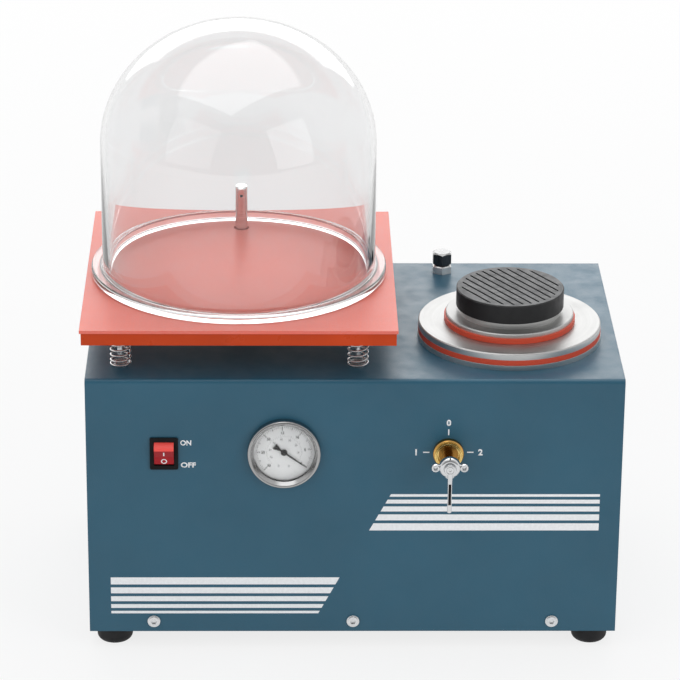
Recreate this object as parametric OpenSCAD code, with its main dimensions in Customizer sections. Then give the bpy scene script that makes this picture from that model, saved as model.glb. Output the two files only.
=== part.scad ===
// Bench vacuum investing and casting machine: a sheet steel cabinet that holds a
// vacuum pump, with a sprung investing table under a bell jar on the left and a
// flanged casting chamber on the right. Millimetres, +Z up, the front faces -Y.
// The origin is on the bench, under the middle of the overall footprint.

/* [Cabinet] */
// Width of the steel cover
hood_w = 500; // [460:1:540]
// Depth of the steel cover
hood_d = 300; // [290:1:330]
// Height of the steel cover
hood_h = 260; // [250:1:290]
// Thickness of the cover's sheet
sheet = 1.5; // [1:0.1:2]
// Outer radius of the folds along the top edges
fold_r = 4; // [3:0.5:6]
// Thickness of the bottom tray
tray_t = 2; // [1.5:0.1:3]
// Height of the tray's upturned lips
tray_lip = 22; // [20:1:28]
// Width of the flange round the rear window
rear_flange = 16; // [14:1:22]
// Spacing of the three front screws
front_screw_pitch = 189; // [160:1:210]
// Spacing of the two screws on each side
side_screw_pitch = 180; // [140:1:220]
// Height of the cover screws above the cover's lower edge
cover_screw_z = 11; // [9:0.5:13]
// Diameter of the cover screws' heads
cover_head_d = 12; // [10:0.5:14]
// Height of the cover screws' heads
cover_head_h = 2.6; // [2:0.2:3.4]
// Thread diameter of the cover screws
cover_screw_d = 5; // [4:0.5:6]
// Number of vent slots in the rear panel
vent_count = 12; // [6:1:16]
// Height of each vent slot
vent_h = 3; // [2:0.5:3.5]
// Spacing of the vent slots
vent_pitch = 9; // [7:0.5:10]
// Length of each vent slot
vent_w = 120; // [80:5:150]

/* [Feet] */
// Diameter of a rubber foot at its top
foot_d = 34; // [26:1:36]
// Height of the rubber feet
foot_h = 17; // [14:0.5:22]
// Inset of a foot's centre from the cover's side
foot_inset_x = 23; // [21:1:32]
// Inset of a foot's centre from the cover's front
foot_inset_y = 21; // [20:1:32]
// Thread diameter of the foot screws
foot_screw_d = 5; // [4:0.5:6]

/* [Vacuum gauge] */
// Gauge centre, right of the cover's middle
gauge_x = -65.8; // [-80:0.5:-50]
// Gauge centre, above the cover's lower edge
gauge_z = 187; // [170:1:200]
// Outer diameter of the bezel
bezel_d = 68.6; // [64:0.2:76]
// How far the bezel stands proud of the front
bezel_proud = 8; // [7:0.5:11]
// Depth of the gauge's case behind the front
gauge_depth = 28; // [24:1:34]
// Diameter of the dial
dial_d = 57.4; // [52:0.2:58]
// Thickness of the gauge's glass
lens_t = 1.4; // [1:0.1:2]
// Length of the needle from its axis
needle_len = 25.8; // [20:0.2:26]
// Needle's direction at zero, measured from the right
needle_zero = -36; // [-50:1:-30]

/* [Rocker switch] */
// Switch centre, right of the cover's middle
switch_x = -177.5; // [-190:0.5:-150]
// Switch centre, above the cover's lower edge
switch_z = 186; // [170:1:200]
// Width of the switch's bezel
switch_w = 26.3; // [25:0.1:30]
// Height of the switch's bezel
switch_h = 32; // [31:0.2:36]
// Thickness of the switch's bezel
switch_bezel_t = 2; // [1.5:0.1:3]
// Width of the rocker
rocker_w = 18.3; // [16:0.1:19]
// Radius of the rocker's end walls about its pivot
rocker_r = 11.7; // [11:0.1:12]
// Distance from the rocker's pivot to the middle of its face
rocker_rise = 5.5; // [5:0.1:6]
// Tilt of the rocker either way from level
rocker_tilt = 22.6; // [18:0.2:24]

/* [Vacuum valve] */
// Valve centre, right of the cover's middle
valve_x = 87.2; // [70:0.5:100]
// Valve centre, above the cover's lower edge
valve_z = 187; // [170:1:200]
// Diameter of the brass bulkhead nut
nut_d = 28.6; // [26:0.2:32]
// Thickness of the nut's wide step
nut_t = 6; // [4:0.5:8]
// Thickness of the nut's narrow step
nut_step_t = 4; // [3:0.5:5]
// Thread diameter of the valve's neck
neck_d = 18; // [16:0.5:20]
// Diameter of the valve's body
valve_body_d = 34; // [30:1:38]
// Diameter of the turning plug
plug_d = 16; // [12:0.5:18]
// Diameter of the valve's spindle
spindle_d = 8; // [6:0.5:9]
// Distance from the front panel to the back of the handle's cap
cap_standoff = 31; // [26:1:36]
// Diameter of the handle's round cap
cap_d = 20.5; // [18:0.5:23]
// Thickness of the handle's cap
cap_t = 7; // [5:0.5:9]
// Length of the lever from the valve's axis to its tip
lever_len = 44; // [36:1:55]
// Width of the lever
lever_w = 4.4; // [4:0.2:6]
// Thickness of the lever
lever_t = 3; // [2.4:0.2:4]

/* [Investing table] */
// Width of the table plate
table_w = 290; // [285:1:296]
// Depth of the table plate
table_d = 310; // [290:1:330]
// Thickness of the table plate
table_t = 12; // [10:0.5:16]
// Table centre, right of the cover's middle
table_x = -107.5; // [-112:0.5:-104]
// Table centre, behind the cover's middle
table_y = 4; // [0:1:8]
// Thickness of the silicone mat
mat_t = 3; // [2:0.5:5]
// How far the mat overhangs the plate
mat_over = 1.5; // [0:0.5:3]
// Height of the table springs
spring_h = 35; // [32:0.5:40]
// Outer diameter of the table springs
spring_d = 20; // [18:0.5:23]
// Wire diameter of the table springs
wire_d = 1.8; // [1.4:0.1:2.2]
// Turns of wire in each spring
spring_turns = 7.5; // [5.5:1:8.5]
// Spring axes, in from the sides of the table plate
spring_inset_x = 34.5; // [30:0.5:45]
// Spring axes, in from the front and back of the table plate
spring_inset_y = 37.5; // [32:0.5:50]
// Diameter of the guide pegs inside the springs
peg_d = 6; // [5:0.5:8]
// Length of the guide pegs below the plate
peg_len = 24; // [20:1:25]
// Outer diameter of the air tube
tube_d = 12.2; // [10:0.2:14]
// Wall of the air tube
tube_wall = 1.6; // [1.2:0.1:2]
// Height of the air tube above the mat
tube_h = 45; // [35:1:60]
// Air tube, behind the table's centre
tube_y = 107; // [95:1:108]
// Diameter of the hole in the mat round the tube
mat_hole_d = 15.1; // [15:0.1:18]

/* [Bell jar] */
// Outer diameter of the jar's wall
jar_d = 261; // [255:1:268]
// Outer diameter of the jar's foot flange
jar_flange_d = 282; // [276:1:286]
// Thickness of the jar's foot flange
jar_flange_t = 7.5; // [5:0.5:10]
// Thickness of the jar's wall
jar_wall = 5; // [4:0.5:7]
// Height of the jar's straight wall
jar_straight = 129; // [90:1:160]
// Height of the jar's dome
jar_dome = 116; // [100:1:128]
// How far left of the table's centre the jar stands
jar_left = 1.4; // [0:0.2:2]

/* [Casting chamber] */
// Chamber axis, right of the cover's middle
chamber_x = 148.5; // [145:0.5:155]
// Chamber axis, behind the cover's middle
chamber_y = -41; // [-45:1:-30]
// Inner diameter of the chamber
pot_bore_d = 110; // [106:1:114]
// Wall of the chamber
pot_wall = 2.5; // [2:0.5:3]
// Depth of the chamber below the cover's top
pot_depth = 120; // [116:1:130]
// How far the chamber's top ring stands out past the adapter plate
ring_margin = 0.5; // [0.5:0.5:2]
// Thickness of the chamber's top ring
ring_t = 5; // [4:0.5:7]
// Thickness of the lower gasket
gasket_t = 5.2; // [4:0.2:7]
// Outer diameter of the adapter plate
adapter_d = 173.2; // [160:0.2:176]
// Thickness of the adapter plate
adapter_t = 6.2; // [5:0.2:9]
// Outer diameter of the flask gasket
flask_gasket_d = 124.4; // [122:0.2:130]
// Thickness of the flask gasket
flask_gasket_t = 5.1; // [4:0.1:6]

/* [Casting flask] */
// Outer diameter of the flask's tube
flask_d = 88.9; // [80:0.1:90]
// Wall of the flask's tube
flask_wall = 2; // [1.5:0.1:3]
// Length of the flask below its flange
flask_drop = 96; // [80:1:98]
// Outer diameter of the flask's flange
flask_flange_d = 121.2; // [114:0.2:124]
// Thickness of the flask's flange
flask_flange_t = 4; // [3:0.5:5]
// Height of the flask's rim above its flange
flask_rim_h = 6.5; // [6:0.5:10]
// Outer diameter of the flask's rim
flask_rim_d = 96; // [94:0.5:100]
// Diameter of the flask's gas holes
flask_hole_d = 6; // [4.5:0.5:8]
// Diameter of the rubber sprue base
base_d = 102; // [98:0.5:106]
// Thickness of the rubber sprue base above the rim
base_t = 18; // [14:0.2:24]
// Spacing of the grooves in the sprue base
groove_pitch = 8; // [7:0.5:10]
// Width of the grooves
groove_w = 2; // [1.5:0.1:3]
// Plain border round the grooves
groove_border = 5; // [4:0.5:8]
// Direction of the grooves, from the left-right axis
groove_angle = -58; // [-80:1:-30]

/* [Oil filler] */
// Filler axis, right of the cover's middle
filler_x = 91.7; // [80:0.5:96]
// Filler axis, behind the cover's middle
filler_y = 124; // [118:1:126]
// Distance across the flats of the hexagons
hex_af = 18; // [17:0.5:22]
// Height of the fixed hexagon
filler_nut_h = 8; // [7:0.5:12]
// Height of the cap
filler_cap_h = 12; // [11:0.5:20]
// Thread diameter under the cap
filler_thread_d = 12; // [10:1:13]
// Thickness of the cap's seal
seal_t = 1.5; // [1.2:0.1:2]
// How far the cap rises as it unscrews
cap_rise = 6; // [4:0.5:8]

/* [Pump and motor] */
// Diameter of the motor
motor_d = 116; // [100:1:122]
// Length of the motor
motor_len = 150; // [130:1:160]
// Shaft axis, above the tray
shaft_z = 78; // [72:1:84]
// Shaft axis, behind the cover's middle
shaft_y = 50; // [45:1:60]
// Face between motor and pump, right of the cover's middle
drive_x = -30; // [-40:1:-25]
// Diameter of the shaft
shaft_d = 14; // [12:1:16]
// Diameter of the pump's bore
stator_d = 64; // [60:1:70]
// Diameter of the pump's rotor
rotor_d = 52; // [46:1:54]
// Length of the pump's rotor
rotor_len = 50; // [40:1:60]
// Height of the rubber mounts
mount_h = 14; // [12:1:18]
// Outer diameter of the cooling fan
fan_d = 96; // [80:1:104]
// Outer diameter of the hoses
hose_d = 12; // [10:0.5:13]
// Bore of the hoses
hose_bore = 7; // [6:0.5:8]

/* [Power inlet] */
// Inlet centre, right of the cover's middle
inlet_x = -180; // [-190:1:-150]
// Inlet centre, above the cover's lower edge
inlet_z = 62; // [55:1:80]
// Width of the plug's socket
socket_w = 24.6; // [24:0.1:26]
// Height of the plug's socket
socket_h = 16.6; // [16:0.1:18]
// Depth of the plug's socket
socket_depth = 16; // [14:0.5:18]

/* [Clearances] */
// Radial gap of a shaft that turns in a bore
run_gap = 0.05; // [0.02:0.01:0.1]
// Gap round a piece that drops into its seat
drop_gap = 0.6; // [0.4:0.1:1]
// Gap between a fixed piece and the hole it goes through
hole_gap = 0.2; // [0.1:0.05:0.3]

/* [Hidden] */
$fn = 64;

// --- Overall frame --------------------------------------------------------------------------
handle_front = cap_standoff + cap_t + lever_t;
left_reach = max(table_w / 2 + mat_over - table_x - hood_w / 2, cover_head_h);
back_reach = max(table_y + table_d / 2 + mat_over - hood_d / 2, sheet + cover_head_h);
cx = (left_reach - cover_head_h) / 2;
cy = (handle_front - back_reach) / 2;
front_y = cy - hood_d / 2;
rear_y = cy + hood_d / 2;
hood_z = foot_h;
top_z = hood_z + hood_h;
tray_top = hood_z + tray_t;
far = 1000;
eps = 0.01;

// --- Cabinet --------------------------------------------------------------------------------
inner_w = hood_w - 2 * sheet;
inner_d = hood_d - 2 * sheet;
tray_gap = 0.3;
nut_h = 4;
foot_x = hood_w / 2 - foot_inset_x;
foot_y = hood_d / 2 - foot_inset_y;
foot_head_d = 2 * foot_screw_d;
foot_head_h = 4;
foot_round = 6;
foot_recess = 0.55 * foot_h;
rear_margin = 5;
rear_screw_d = 4;
rear_head_d = 8;
rear_head_h = 2;
rear_panel_w = hood_w - 2 * rear_margin;
rear_panel_h = hood_h - fold_r - 2 * rear_margin;
rear_screw_x = hood_w / 2 - rear_flange / 2 - sheet;
rear_screw_top = top_z - fold_r - rear_flange / 2 - 2;

// --- Gauge ----------------------------------------------------------------------------------
case_wall = 1;
dial_t = 0.8;
dial_z = -0.2;
lens_z = 2.4;
case_r = dial_d / 2 + 2.1;
lens_r = dial_d / 2 + 0.8;
ledge_r = dial_d / 2 - 0.8;
bezel_bore_r = case_r + hole_gap;
needle_spindle_r = 1;
needle_hub_r = 3;
needle_z = 0.6;
needle_t = 0.6;
gauge_stem_d = 10;
gauge_stem_len = 16;
works_z = -14;
works_d = 12;
works_back = 8;
works_plate_t = 3;

// --- Switch ---------------------------------------------------------------------------------
switch_border = 1.4;
opening_w = rocker_w + 2 * 0.3;
opening_h = 2 * (rocker_r + 0.3);
switch_body_w = opening_w + 2 * switch_border;
switch_body_h = opening_h + 2 * switch_border;
switch_body_depth = 20;
pivot_depth = 1;
pivot_r = 1.5;
pivot_len = 1.3;
rocker_back = 3;
tip_angle = 36.9;
tip_r = rocker_r - 1;
wall_angle = 28;
back_angle = asin(rocker_back / rocker_r);
blade_w = 6.3;
blade_t = 0.8;
blade_len = 11;
blade_y = 7;

// --- Valve ----------------------------------------------------------------------------------
valve_depth = 50;
valve_port_z = -26;
gauge_port_z = -43;
plug_back = -36;
plug_front = -14;
neck_front = nut_t - 1;
passage_d = 6;
barb_len = 16;
barb_d = hose_bore;
table_travel = 6.5;
handle_lug_r = 4.4;
handle_lug_x = cap_d / 2 + 3;
handle_tip = 13;
hub_d = 11;
inlay_w = lever_w - 1.8;
inlay_t = 1;
inlay_start = 14;
inlay_end = 0.8 * lever_len;
screw_head_r = 2.6;

// --- Table ----------------------------------------------------------------------------------
plate_z = top_z + spring_h;
mat_z = plate_z + table_t;
deck_z = mat_z + mat_t;
tx = cx + table_x;
ty = cy + table_y;
spring_pitch_x = table_w - 2 * spring_inset_x;
spring_pitch_y = table_d - 2 * spring_inset_y;
coil_r = (spring_d - wire_d) / 2;
seat_head_d = spring_d - 2 * wire_d - 2;
seat_head_h = 3;
seat_screw_d = 6;
peg_seat = 8;
tube_wx = tx;
tube_wy = ty + tube_y;
tube_top = deck_z + tube_h;
tube_end = top_z - 50;
tube_collar_t = 5;
grommet_lip_d = tube_d + 14;
grommet_groove_d = tube_d + 7;
grommet_lip_t = 2.5;
cross_hole_d = 3;
coil_rings = 8;
closed_pitch = wire_d + 0.4;
wire_rest = wire_d / 2;
open_pitch = (spring_h - 2 * wire_rest - 2 * closed_pitch) / (spring_turns - 2);
wire_sides = 6;

// --- Jar ------------------------------------------------------------------------------------
jar_x = tx - jar_left;
jar_y = ty;
jar_steps = 20;

// --- Chamber and flask ----------------------------------------------------------------------
px = cx + chamber_x;
py = cy + chamber_y;
pot_r = pot_bore_d / 2;
ring_d = adapter_d + 2 * ring_margin;
pot_floor = top_z - pot_depth;
ring_z = top_z + ring_t;
adapter_z = ring_z + gasket_t;
adapter_top = adapter_z + adapter_t;
flange_z = adapter_top + flask_gasket_t;
rim_z = flange_z + flask_flange_t;
base_z = rim_z + flask_rim_h;
gasket_bore_d = pot_bore_d + 10;
spigot_h = gasket_t + 3;
spigot_wall = 3;
adapter_bore_d = flask_d + 6;
flask_bottom = flange_z - flask_drop;
flask_bore_d = flask_d - 2 * flask_wall;
plug_depth = 5;
groove_depth = 1.6;
hole_rows = 4;
holes_round = 10;
elbow_d = 16;
elbow_drop = 14;
elbow_reach = 18;

// --- Filler ---------------------------------------------------------------------------------
fx = cx + filler_x;
fy = cy + filler_y;
neck_r = filler_thread_d / 2 + 1.5;
filler_nut_top = top_z + filler_nut_h;
cap_z = filler_nut_top + seal_t;
thread_len = filler_cap_h - 4;

// --- Pump and motor -------------------------------------------------------------------------
shaft_wz = tray_top + shaft_z;
shaft_wy = cy + shaft_y;
drive_wx = cx + drive_x;
motor_r = motor_d / 2;
motor_left = drive_wx - motor_len;
end_bell = 14;
armature_d = 0.58 * motor_d;
armature_len = motor_len - 2 * end_bell - 12;
eccentric = (stator_d - rotor_d) / 2 - 1;
pump_wall = 14;
pump_h = 120;
pump_w = 100;
pump_len = rotor_len + 2 * pump_wall + 4;
tank_len = cx + filler_x + 22 - (drive_wx + pump_len);
tank_gap = 3;
tank_front = py + pot_r + pot_wall + tank_gap;
tank_w = cy + filler_y + 16 - tank_front;
intake = [drive_wx + pump_wall + 20, shaft_wy - pump_w / 2, shaft_wz + 20];
pump_bottom = tray_top + mount_h;
pump_top = pump_bottom + pump_h;
fan_gap = 4;
fan_t = 14;
fan_hub_d = 34;
fan_blades = 8;
shaft_grip = 20;
vane_t = 4;
vane_h = 16;
mount_d = 24;
mount_screw_d = 6;
mount_y = 35;
foot_plate_t = 5;
mount_xs = [motor_left + 30, drive_wx - 30, drive_wx + 30, drive_wx + pump_len - 20];
capacitor_d = 36;
capacitor_h = 78;
capacitor_from_side = 100;
capacitor_from_front = 62;
capacitor_x = cx - hood_w / 2 + capacitor_from_side;
capacitor_y = front_y + capacitor_from_front;

// --- Power inlet ----------------------------------------------------------------------------
inlet_wall = 1.7;
inlet_flange_w = socket_w + 24;
inlet_flange_h = socket_h + 8;
inlet_flange_t = 2;
inlet_wx = cx + inlet_x;
inlet_wz = hood_z + inlet_z;
pin_w = 4;
pin_t = 2;
pin_pitch = 7;

// --- General helpers ------------------------------------------------------------------------
function unit(v) = v / norm(v);
function arc(r, a0, a1, n) = [for (i = [0 : n]) let (a = a0 + (a1 - a0) * i / n) [r * cos(a), r * sin(a)]];

// Points on a cubic curve from a to d, leaving towards b and arriving from c
function curve(a, b, c, d, n) = [for (i = [0 : n]) let (t = i / n, s = 1 - t)
    s * s * s * a + 3 * s * s * t * b + 3 * s * t * t * c + t * t * t * d];

// Carries a ring's first direction along a path without letting it twist
function carried(tangents, i, side) = i == len(tangents) ? [] :
    let (m = unit(side - (side * tangents[i]) * tangents[i])) concat([m], carried(tangents, i + 1, m));

// The direction of a path at each of its points
function directions(path) = let (n = len(path) - 1) [for (i = [0 : n])
    unit((i < n ? unit(path[i + 1] - path[i]) : [0, 0, 0])
        + (i > 0 ? unit(path[i] - path[i - 1]) : [0, 0, 0]))];

// Rings of points round a path
function rings(path, r, sides) = let (dirs = directions(path),
    first = abs(dirs[0][2]) > 0.9 ? [1, 0, 0] : [0, 0, 1], across = carried(dirs, 0, first))
    [for (i = [0 : len(path) - 1]) for (k = [0 : sides - 1]) let (a = 360 * k / sides)
        path[i] + r * (cos(a) * across[i] + sin(a) * cross(dirs[i], across[i]))];

// The sides between n rings, from point number start
function ring_walls(n, sides, start) = [for (i = [0 : n - 2]) for (k = [0 : sides - 1])
    let (a = start + i * sides + k, b = start + i * sides + (k + 1) % sides)
    each [[a, b + sides, b], [a, a + sides, b + sides]]];

function turned(faces) = [for (f = faces) [f[0], f[2], f[1]]];

// A solid round bar along a path, flat at both ends
module tube(path, r, sides) {
    n = len(path);
    last = (n - 1) * sides;
    caps = [for (k = [1 : sides - 2]) each [[0, k, k + 1], [last, last + k + 1, last + k]]];
    polyhedron(rings(path, r, sides), concat(ring_walls(n, sides, 0), caps));
}

// A hollow hose along a path, flat at both ends
module pipe(path, r, bore, sides) {
    n = len(path);
    inner = n * sides;
    last = (n - 1) * sides;
    caps = [for (k = [0 : sides - 1]) let (j = (k + 1) % sides) each [
        [k, j, inner + j], [k, inner + j, inner + k],
        [last + k, inner + last + j, last + j], [last + k, inner + last + k, inner + last + j]]];
    polyhedron(concat(rings(path, r, sides), rings(path, bore, sides)),
        concat(ring_walls(n, sides, 0), turned(ring_walls(n, sides, inner)), caps));
}

// A hexagonal prism by its distance across the flats
module hexagon(flats, h) {
    cylinder(d = flats / cos(30), h = h, $fn = 6);
}

// A flat bar with rounded corners, centred
module rounded_plate(w, d, r, h) {
    linear_extrude(h) {
        square([w - 2 * r, d], center = true);
        square([w, d - 2 * r], center = true);
        for (x = [-1, 1], y = [-1, 1]) translate([x * (w / 2 - r), y * (d / 2 - r)]) circle(r, $fn = 32);
    }
}

// A pan head screw along -Z with its head above Z = 0 and a hexagonal socket
module pan_screw(head_d, head_h, thread_d, length) {
    difference() {
        union() {
            cylinder(d = head_d, h = 0.55 * head_h);
            cylinder(d = 0.82 * head_d, h = head_h);
        }
        translate([0, 0, 0.3 * head_h]) hexagon(0.4 * head_d, head_h);
    }
    translate([0, 0, -length]) cylinder(d = thread_d, h = length + eps);
}

// Places its children on the front panel, their +Z towards the viewer
module on_front(x, z) {
    translate([cx + x, front_y, hood_z + z]) rotate([90, 0, 0]) children();
}

// Places its children on the back of the rear panel, their +Z away from it
module on_rear(x, z) {
    translate([x, rear_y + sheet, z]) rotate([-90, 0, 0]) children();
}

// Places its children at each table spring, seen from above
module at_springs() {
    for (x = [-1, 1], y = [-1, 1])
        translate([tx + x * spring_pitch_x / 2, ty + y * spring_pitch_y / 2, 0]) children();
}

// The places of the cover's screws: three in front and two on each side
module at_cover_screws() {
    z = hood_z + cover_screw_z;
    for (i = [-1 : 1]) translate([cx + i * front_screw_pitch, front_y, z]) rotate([90, 0, 0]) children();
    for (s = [-1, 1], j = [-1, 1])
        translate([cx + s * hood_w / 2, cy + j * side_screw_pitch / 2, z]) rotate([0, s * 90, 0]) children();
}

// The places of the rear panel's screws: three up each side
module at_rear_screws() {
    for (s = [-1, 1], i = [0 : 2])
        on_rear(cx + s * rear_screw_x, rear_screw_top - i * 0.4 * hood_h) children();
}

module at_feet() {
    for (x = [-1, 1], y = [-1, 1]) translate([cx + x * foot_x, cy + y * foot_y, 0]) children();
}

// A hose barb along +Z, from its root at Z = 0
module barb(r, length) {
    rotate_extrude() polygon([[0, -2], [r - 0.8, -2], [r - 0.8, 0.25 * length], [r, 0.3 * length],
        [r - 0.8, 0.6 * length], [r, 0.65 * length], [r - 0.8, length], [0, length]]);
}

// --- Cabinet --------------------------------------------------------------------------------
// A sheet cover's outline, front at the left, folded over its top edges
module cover_outline(d, h, r) {
    translate([-d / 2, 0]) square([d, h - r]);
    translate([-d / 2 + r, 0]) square([d - 2 * r, h]);
    for (s = [-1, 1]) translate([s * (d / 2 - r), h - r]) circle(r);
}

module cover_block(w, d, h, r) {
    translate([cx - w / 2, cy, hood_z]) rotate([90, 0, 90]) linear_extrude(w) cover_outline(d, h, r);
}

module hood() {
    color("#3c6073") difference() {
        cover_block(hood_w, hood_d, hood_h, fold_r);
        translate([0, 0, -eps]) cover_block(inner_w, inner_d, hood_h - sheet + eps, fold_r - sheet / 2);
        translate([cx - hood_w / 2 + rear_flange, rear_y - 2 * sheet, hood_z - eps])
            cube([hood_w - 2 * rear_flange, 3 * sheet, hood_h - fold_r - rear_flange]);
        on_front(gauge_x, gauge_z) translate([0, 0, -far / 20])
            cylinder(r = bezel_bore_r, h = far / 10);
        on_front(switch_x, switch_z) translate([0, 0, -2 * sheet]) linear_extrude(4 * sheet)
            square([switch_body_w + 2 * hole_gap, switch_body_h + 2 * hole_gap], center = true);
        on_front(valve_x, valve_z) translate([0, 0, -2 * sheet])
            cylinder(d = neck_d + 2 * hole_gap, h = 4 * sheet);
        at_cover_screws() translate([0, 0, -4 * sheet])
            cylinder(d = cover_screw_d + 2 * hole_gap, h = 8 * sheet);
        at_rear_screws() translate([0, 0, -4 * sheet])
            cylinder(d = rear_screw_d + 2 * hole_gap, h = 8 * sheet);
        translate([px, py, top_z - 2 * sheet]) cylinder(r = pot_r + pot_wall + hole_gap, h = 4 * sheet);
        translate([fx, fy, top_z - 2 * sheet]) cylinder(r = neck_r + hole_gap, h = 4 * sheet);
        translate([tube_wx, tube_wy, top_z - 2 * sheet]) cylinder(d = grommet_groove_d, h = 4 * sheet);
        at_springs() translate([0, 0, top_z - 2 * sheet])
            cylinder(d = seat_screw_d + 2 * hole_gap, h = 4 * sheet);
    }
}

module base_tray() {
    w = inner_w - 2 * tray_gap;
    d = inner_d - 2 * tray_gap;
    color("#3a3d40") difference() {
        translate([cx - w / 2, cy - d / 2, hood_z]) cube([w, d, tray_t + tray_lip]);
        translate([cx - w / 2 + sheet, cy - d / 2 + sheet, tray_top])
            cube([w - 2 * sheet, d - 2 * sheet, tray_lip + 1]);
        at_cover_screws() translate([0, 0, -20]) cylinder(d = cover_screw_d + 2 * hole_gap, h = 40);
        at_feet() translate([0, 0, hood_z - 1]) cylinder(d = foot_screw_d + 2 * hole_gap, h = tray_t + 2);
    }
}

module rear_panel() {
    color("#35586a") difference() {
        translate([cx - rear_panel_w / 2, rear_y, hood_z + rear_margin])
            cube([rear_panel_w, sheet, rear_panel_h]);
        for (side = [-1, 1], i = [0 : vent_count - 1])
            translate([cx + side * hood_w / 5 - vent_w / 2, rear_y - 1,
                hood_z + 0.45 * hood_h + i * vent_pitch]) cube([vent_w, sheet + 2, vent_h]);
        at_rear_screws() translate([0, 0, -4 * sheet])
            cylinder(d = rear_screw_d + 2 * hole_gap, h = 8 * sheet);
        on_rear(inlet_wx, inlet_wz) translate([0, 0, -2 * sheet]) linear_extrude(4 * sheet)
            square([socket_w + 2 * inlet_wall + 2 * hole_gap, socket_h + 2 * inlet_wall + 2 * hole_gap],
                center = true);
        for (s = [-1, 1]) on_rear(inlet_wx + s * (inlet_flange_w / 2 - 5), inlet_wz)
            translate([0, 0, -2 * sheet]) cylinder(d = 3 + 2 * hole_gap, h = 4 * sheet);
    }
}

module cover_screws() {
    color("#b9bdc0") at_cover_screws()
        pan_screw(cover_head_d, cover_head_h, cover_screw_d, 2 * sheet + tray_gap + 5);
}

module rear_screws() {
    color("#b9bdc0") {
        at_rear_screws() pan_screw(rear_head_d, rear_head_h, rear_screw_d, 2 * sheet + 4);
        for (s = [-1, 1]) on_rear(inlet_wx + s * (inlet_flange_w / 2 - 5), inlet_wz)
            translate([0, 0, inlet_flange_t]) pan_screw(5.5, 1.6, 3, 8);
    }
}

module rubber_feet() {
    color("#151516") at_feet() difference() {
        rotate_extrude() polygon(concat([[0, foot_h], [0, 0]],
            [for (a = [0 : 18 : 90]) [foot_d / 2 - foot_round + foot_round * sin(a),
                foot_round * (1 - cos(a))]], [[foot_d / 2, foot_h]]));
        translate([0, 0, -1]) cylinder(d = foot_head_d + 2, h = foot_recess + 1);
        cylinder(d = foot_screw_d + 2 * hole_gap, h = foot_h + 1);
    }
}

module foot_screws() {
    color("#b9bdc0") at_feet() {
        translate([0, 0, foot_recess]) rotate([180, 0, 0])
            pan_screw(foot_head_d, foot_head_h, foot_screw_d, foot_h - foot_recess + tray_t + nut_h + 2);
        translate([0, 0, tray_top]) difference() {
            hexagon(1.6 * foot_screw_d, nut_h);
            translate([0, 0, -1]) cylinder(d = foot_screw_d + 2 * run_gap, h = nut_h + 2);
        }
    }
}

// --- Vacuum gauge ---------------------------------------------------------------------------
module gauge_case() {
    color("#26282a") on_front(gauge_x, gauge_z) difference() {
        translate([0, 0, -gauge_depth]) cylinder(r = case_r, h = gauge_depth + lens_z);
        translate([0, 0, -gauge_depth + case_wall]) cylinder(r = ledge_r, h = far / 10);
        translate([0, 0, dial_z - dial_t]) cylinder(d = dial_d, h = far / 10);
        translate([0, 0, -gauge_depth - 1]) cylinder(d = gauge_stem_d + 2 * run_gap, h = case_wall + 2);
    }
}

module gauge_bezel() {
    rim = bezel_proud - 2.5;
    outer = bezel_d / 2;
    lip = bezel_proud - 0.6;
    color("#d5d7d9") on_front(gauge_x, gauge_z) rotate_extrude() polygon(concat(
        [[bezel_bore_r, 0], [outer, 0], [outer, rim]],
        [for (p = arc(2.5, 0, 90, 5)) [outer - 2.5 + p[0], rim + p[1]]],
        [[outer - 3.2, lip], [dial_d / 2 - 0.3, lens_z + lens_t + 0.1], [bezel_bore_r, lens_z + lens_t]]));
}

module gauge_dial() {
    color("#f4f5f6") on_front(gauge_x, gauge_z) translate([0, 0, dial_z - dial_t]) difference() {
        cylinder(d = dial_d - 2 * run_gap, h = dial_t);
        translate([0, 0, -1]) cylinder(r = needle_spindle_r + 0.6, h = dial_t + 2);
    }
}

module gauge_lens() {
    color("#e8f0f4", 0.3) on_front(gauge_x, gauge_z)
        translate([0, 0, lens_z]) cylinder(r = case_r, h = lens_t);
}

module gauge_needle() {
    tail = 0.42 * needle_len;
    color("#1b1b1c") on_front(gauge_x, gauge_z) rotate(needle_zero) {
        translate([0, 0, needle_z]) linear_extrude(needle_t) {
            polygon([[0, -0.9], [0.55 * needle_len, -0.55], [needle_len, -0.15], [needle_len, 0.15],
                [0.55 * needle_len, 0.55], [0, 0.9], [-0.35 * tail, 0.7], [-tail, 3.1], [-tail, -3.1],
                [-0.35 * tail, -0.7]]);
        }
        translate([0, 0, dial_z + 0.3]) cylinder(r = needle_hub_r, h = needle_z + needle_t + 0.2 - dial_z);
        translate([0, 0, works_z + 1]) cylinder(r = needle_spindle_r, h = -works_z);
    }
}

module gauge_movement() {
    color("#b08d3c") on_front(gauge_x, gauge_z) difference() {
        union() {
            translate([0, 0, -gauge_depth - gauge_stem_len])
                cylinder(d = gauge_stem_d, h = gauge_stem_len + 6);
            translate([0, 0, -gauge_depth - gauge_stem_len]) rotate([180, 0, 0]) barb(barb_d / 2, barb_len);
            translate([0, 0, -gauge_depth + case_wall]) cylinder(d = 1.6 * gauge_stem_d, h = 3);
            translate([0, 0, works_z - works_back]) cylinder(d = works_d, h = works_back + works_plate_t);
            translate([0, 0, works_z - works_back / 2]) rotate(needle_zero - 150) {
                rotate_extrude(angle = 270) translate([0.62 * ledge_r, 0])
                    square([works_plate_t, 6], center = true);
                translate([0.31 * ledge_r, 0, 0]) cube([0.62 * ledge_r, 4, 4], center = true);
            }
        }
        translate([0, 0, works_z]) cylinder(r = needle_spindle_r + run_gap, h = 20);
    }
}

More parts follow.
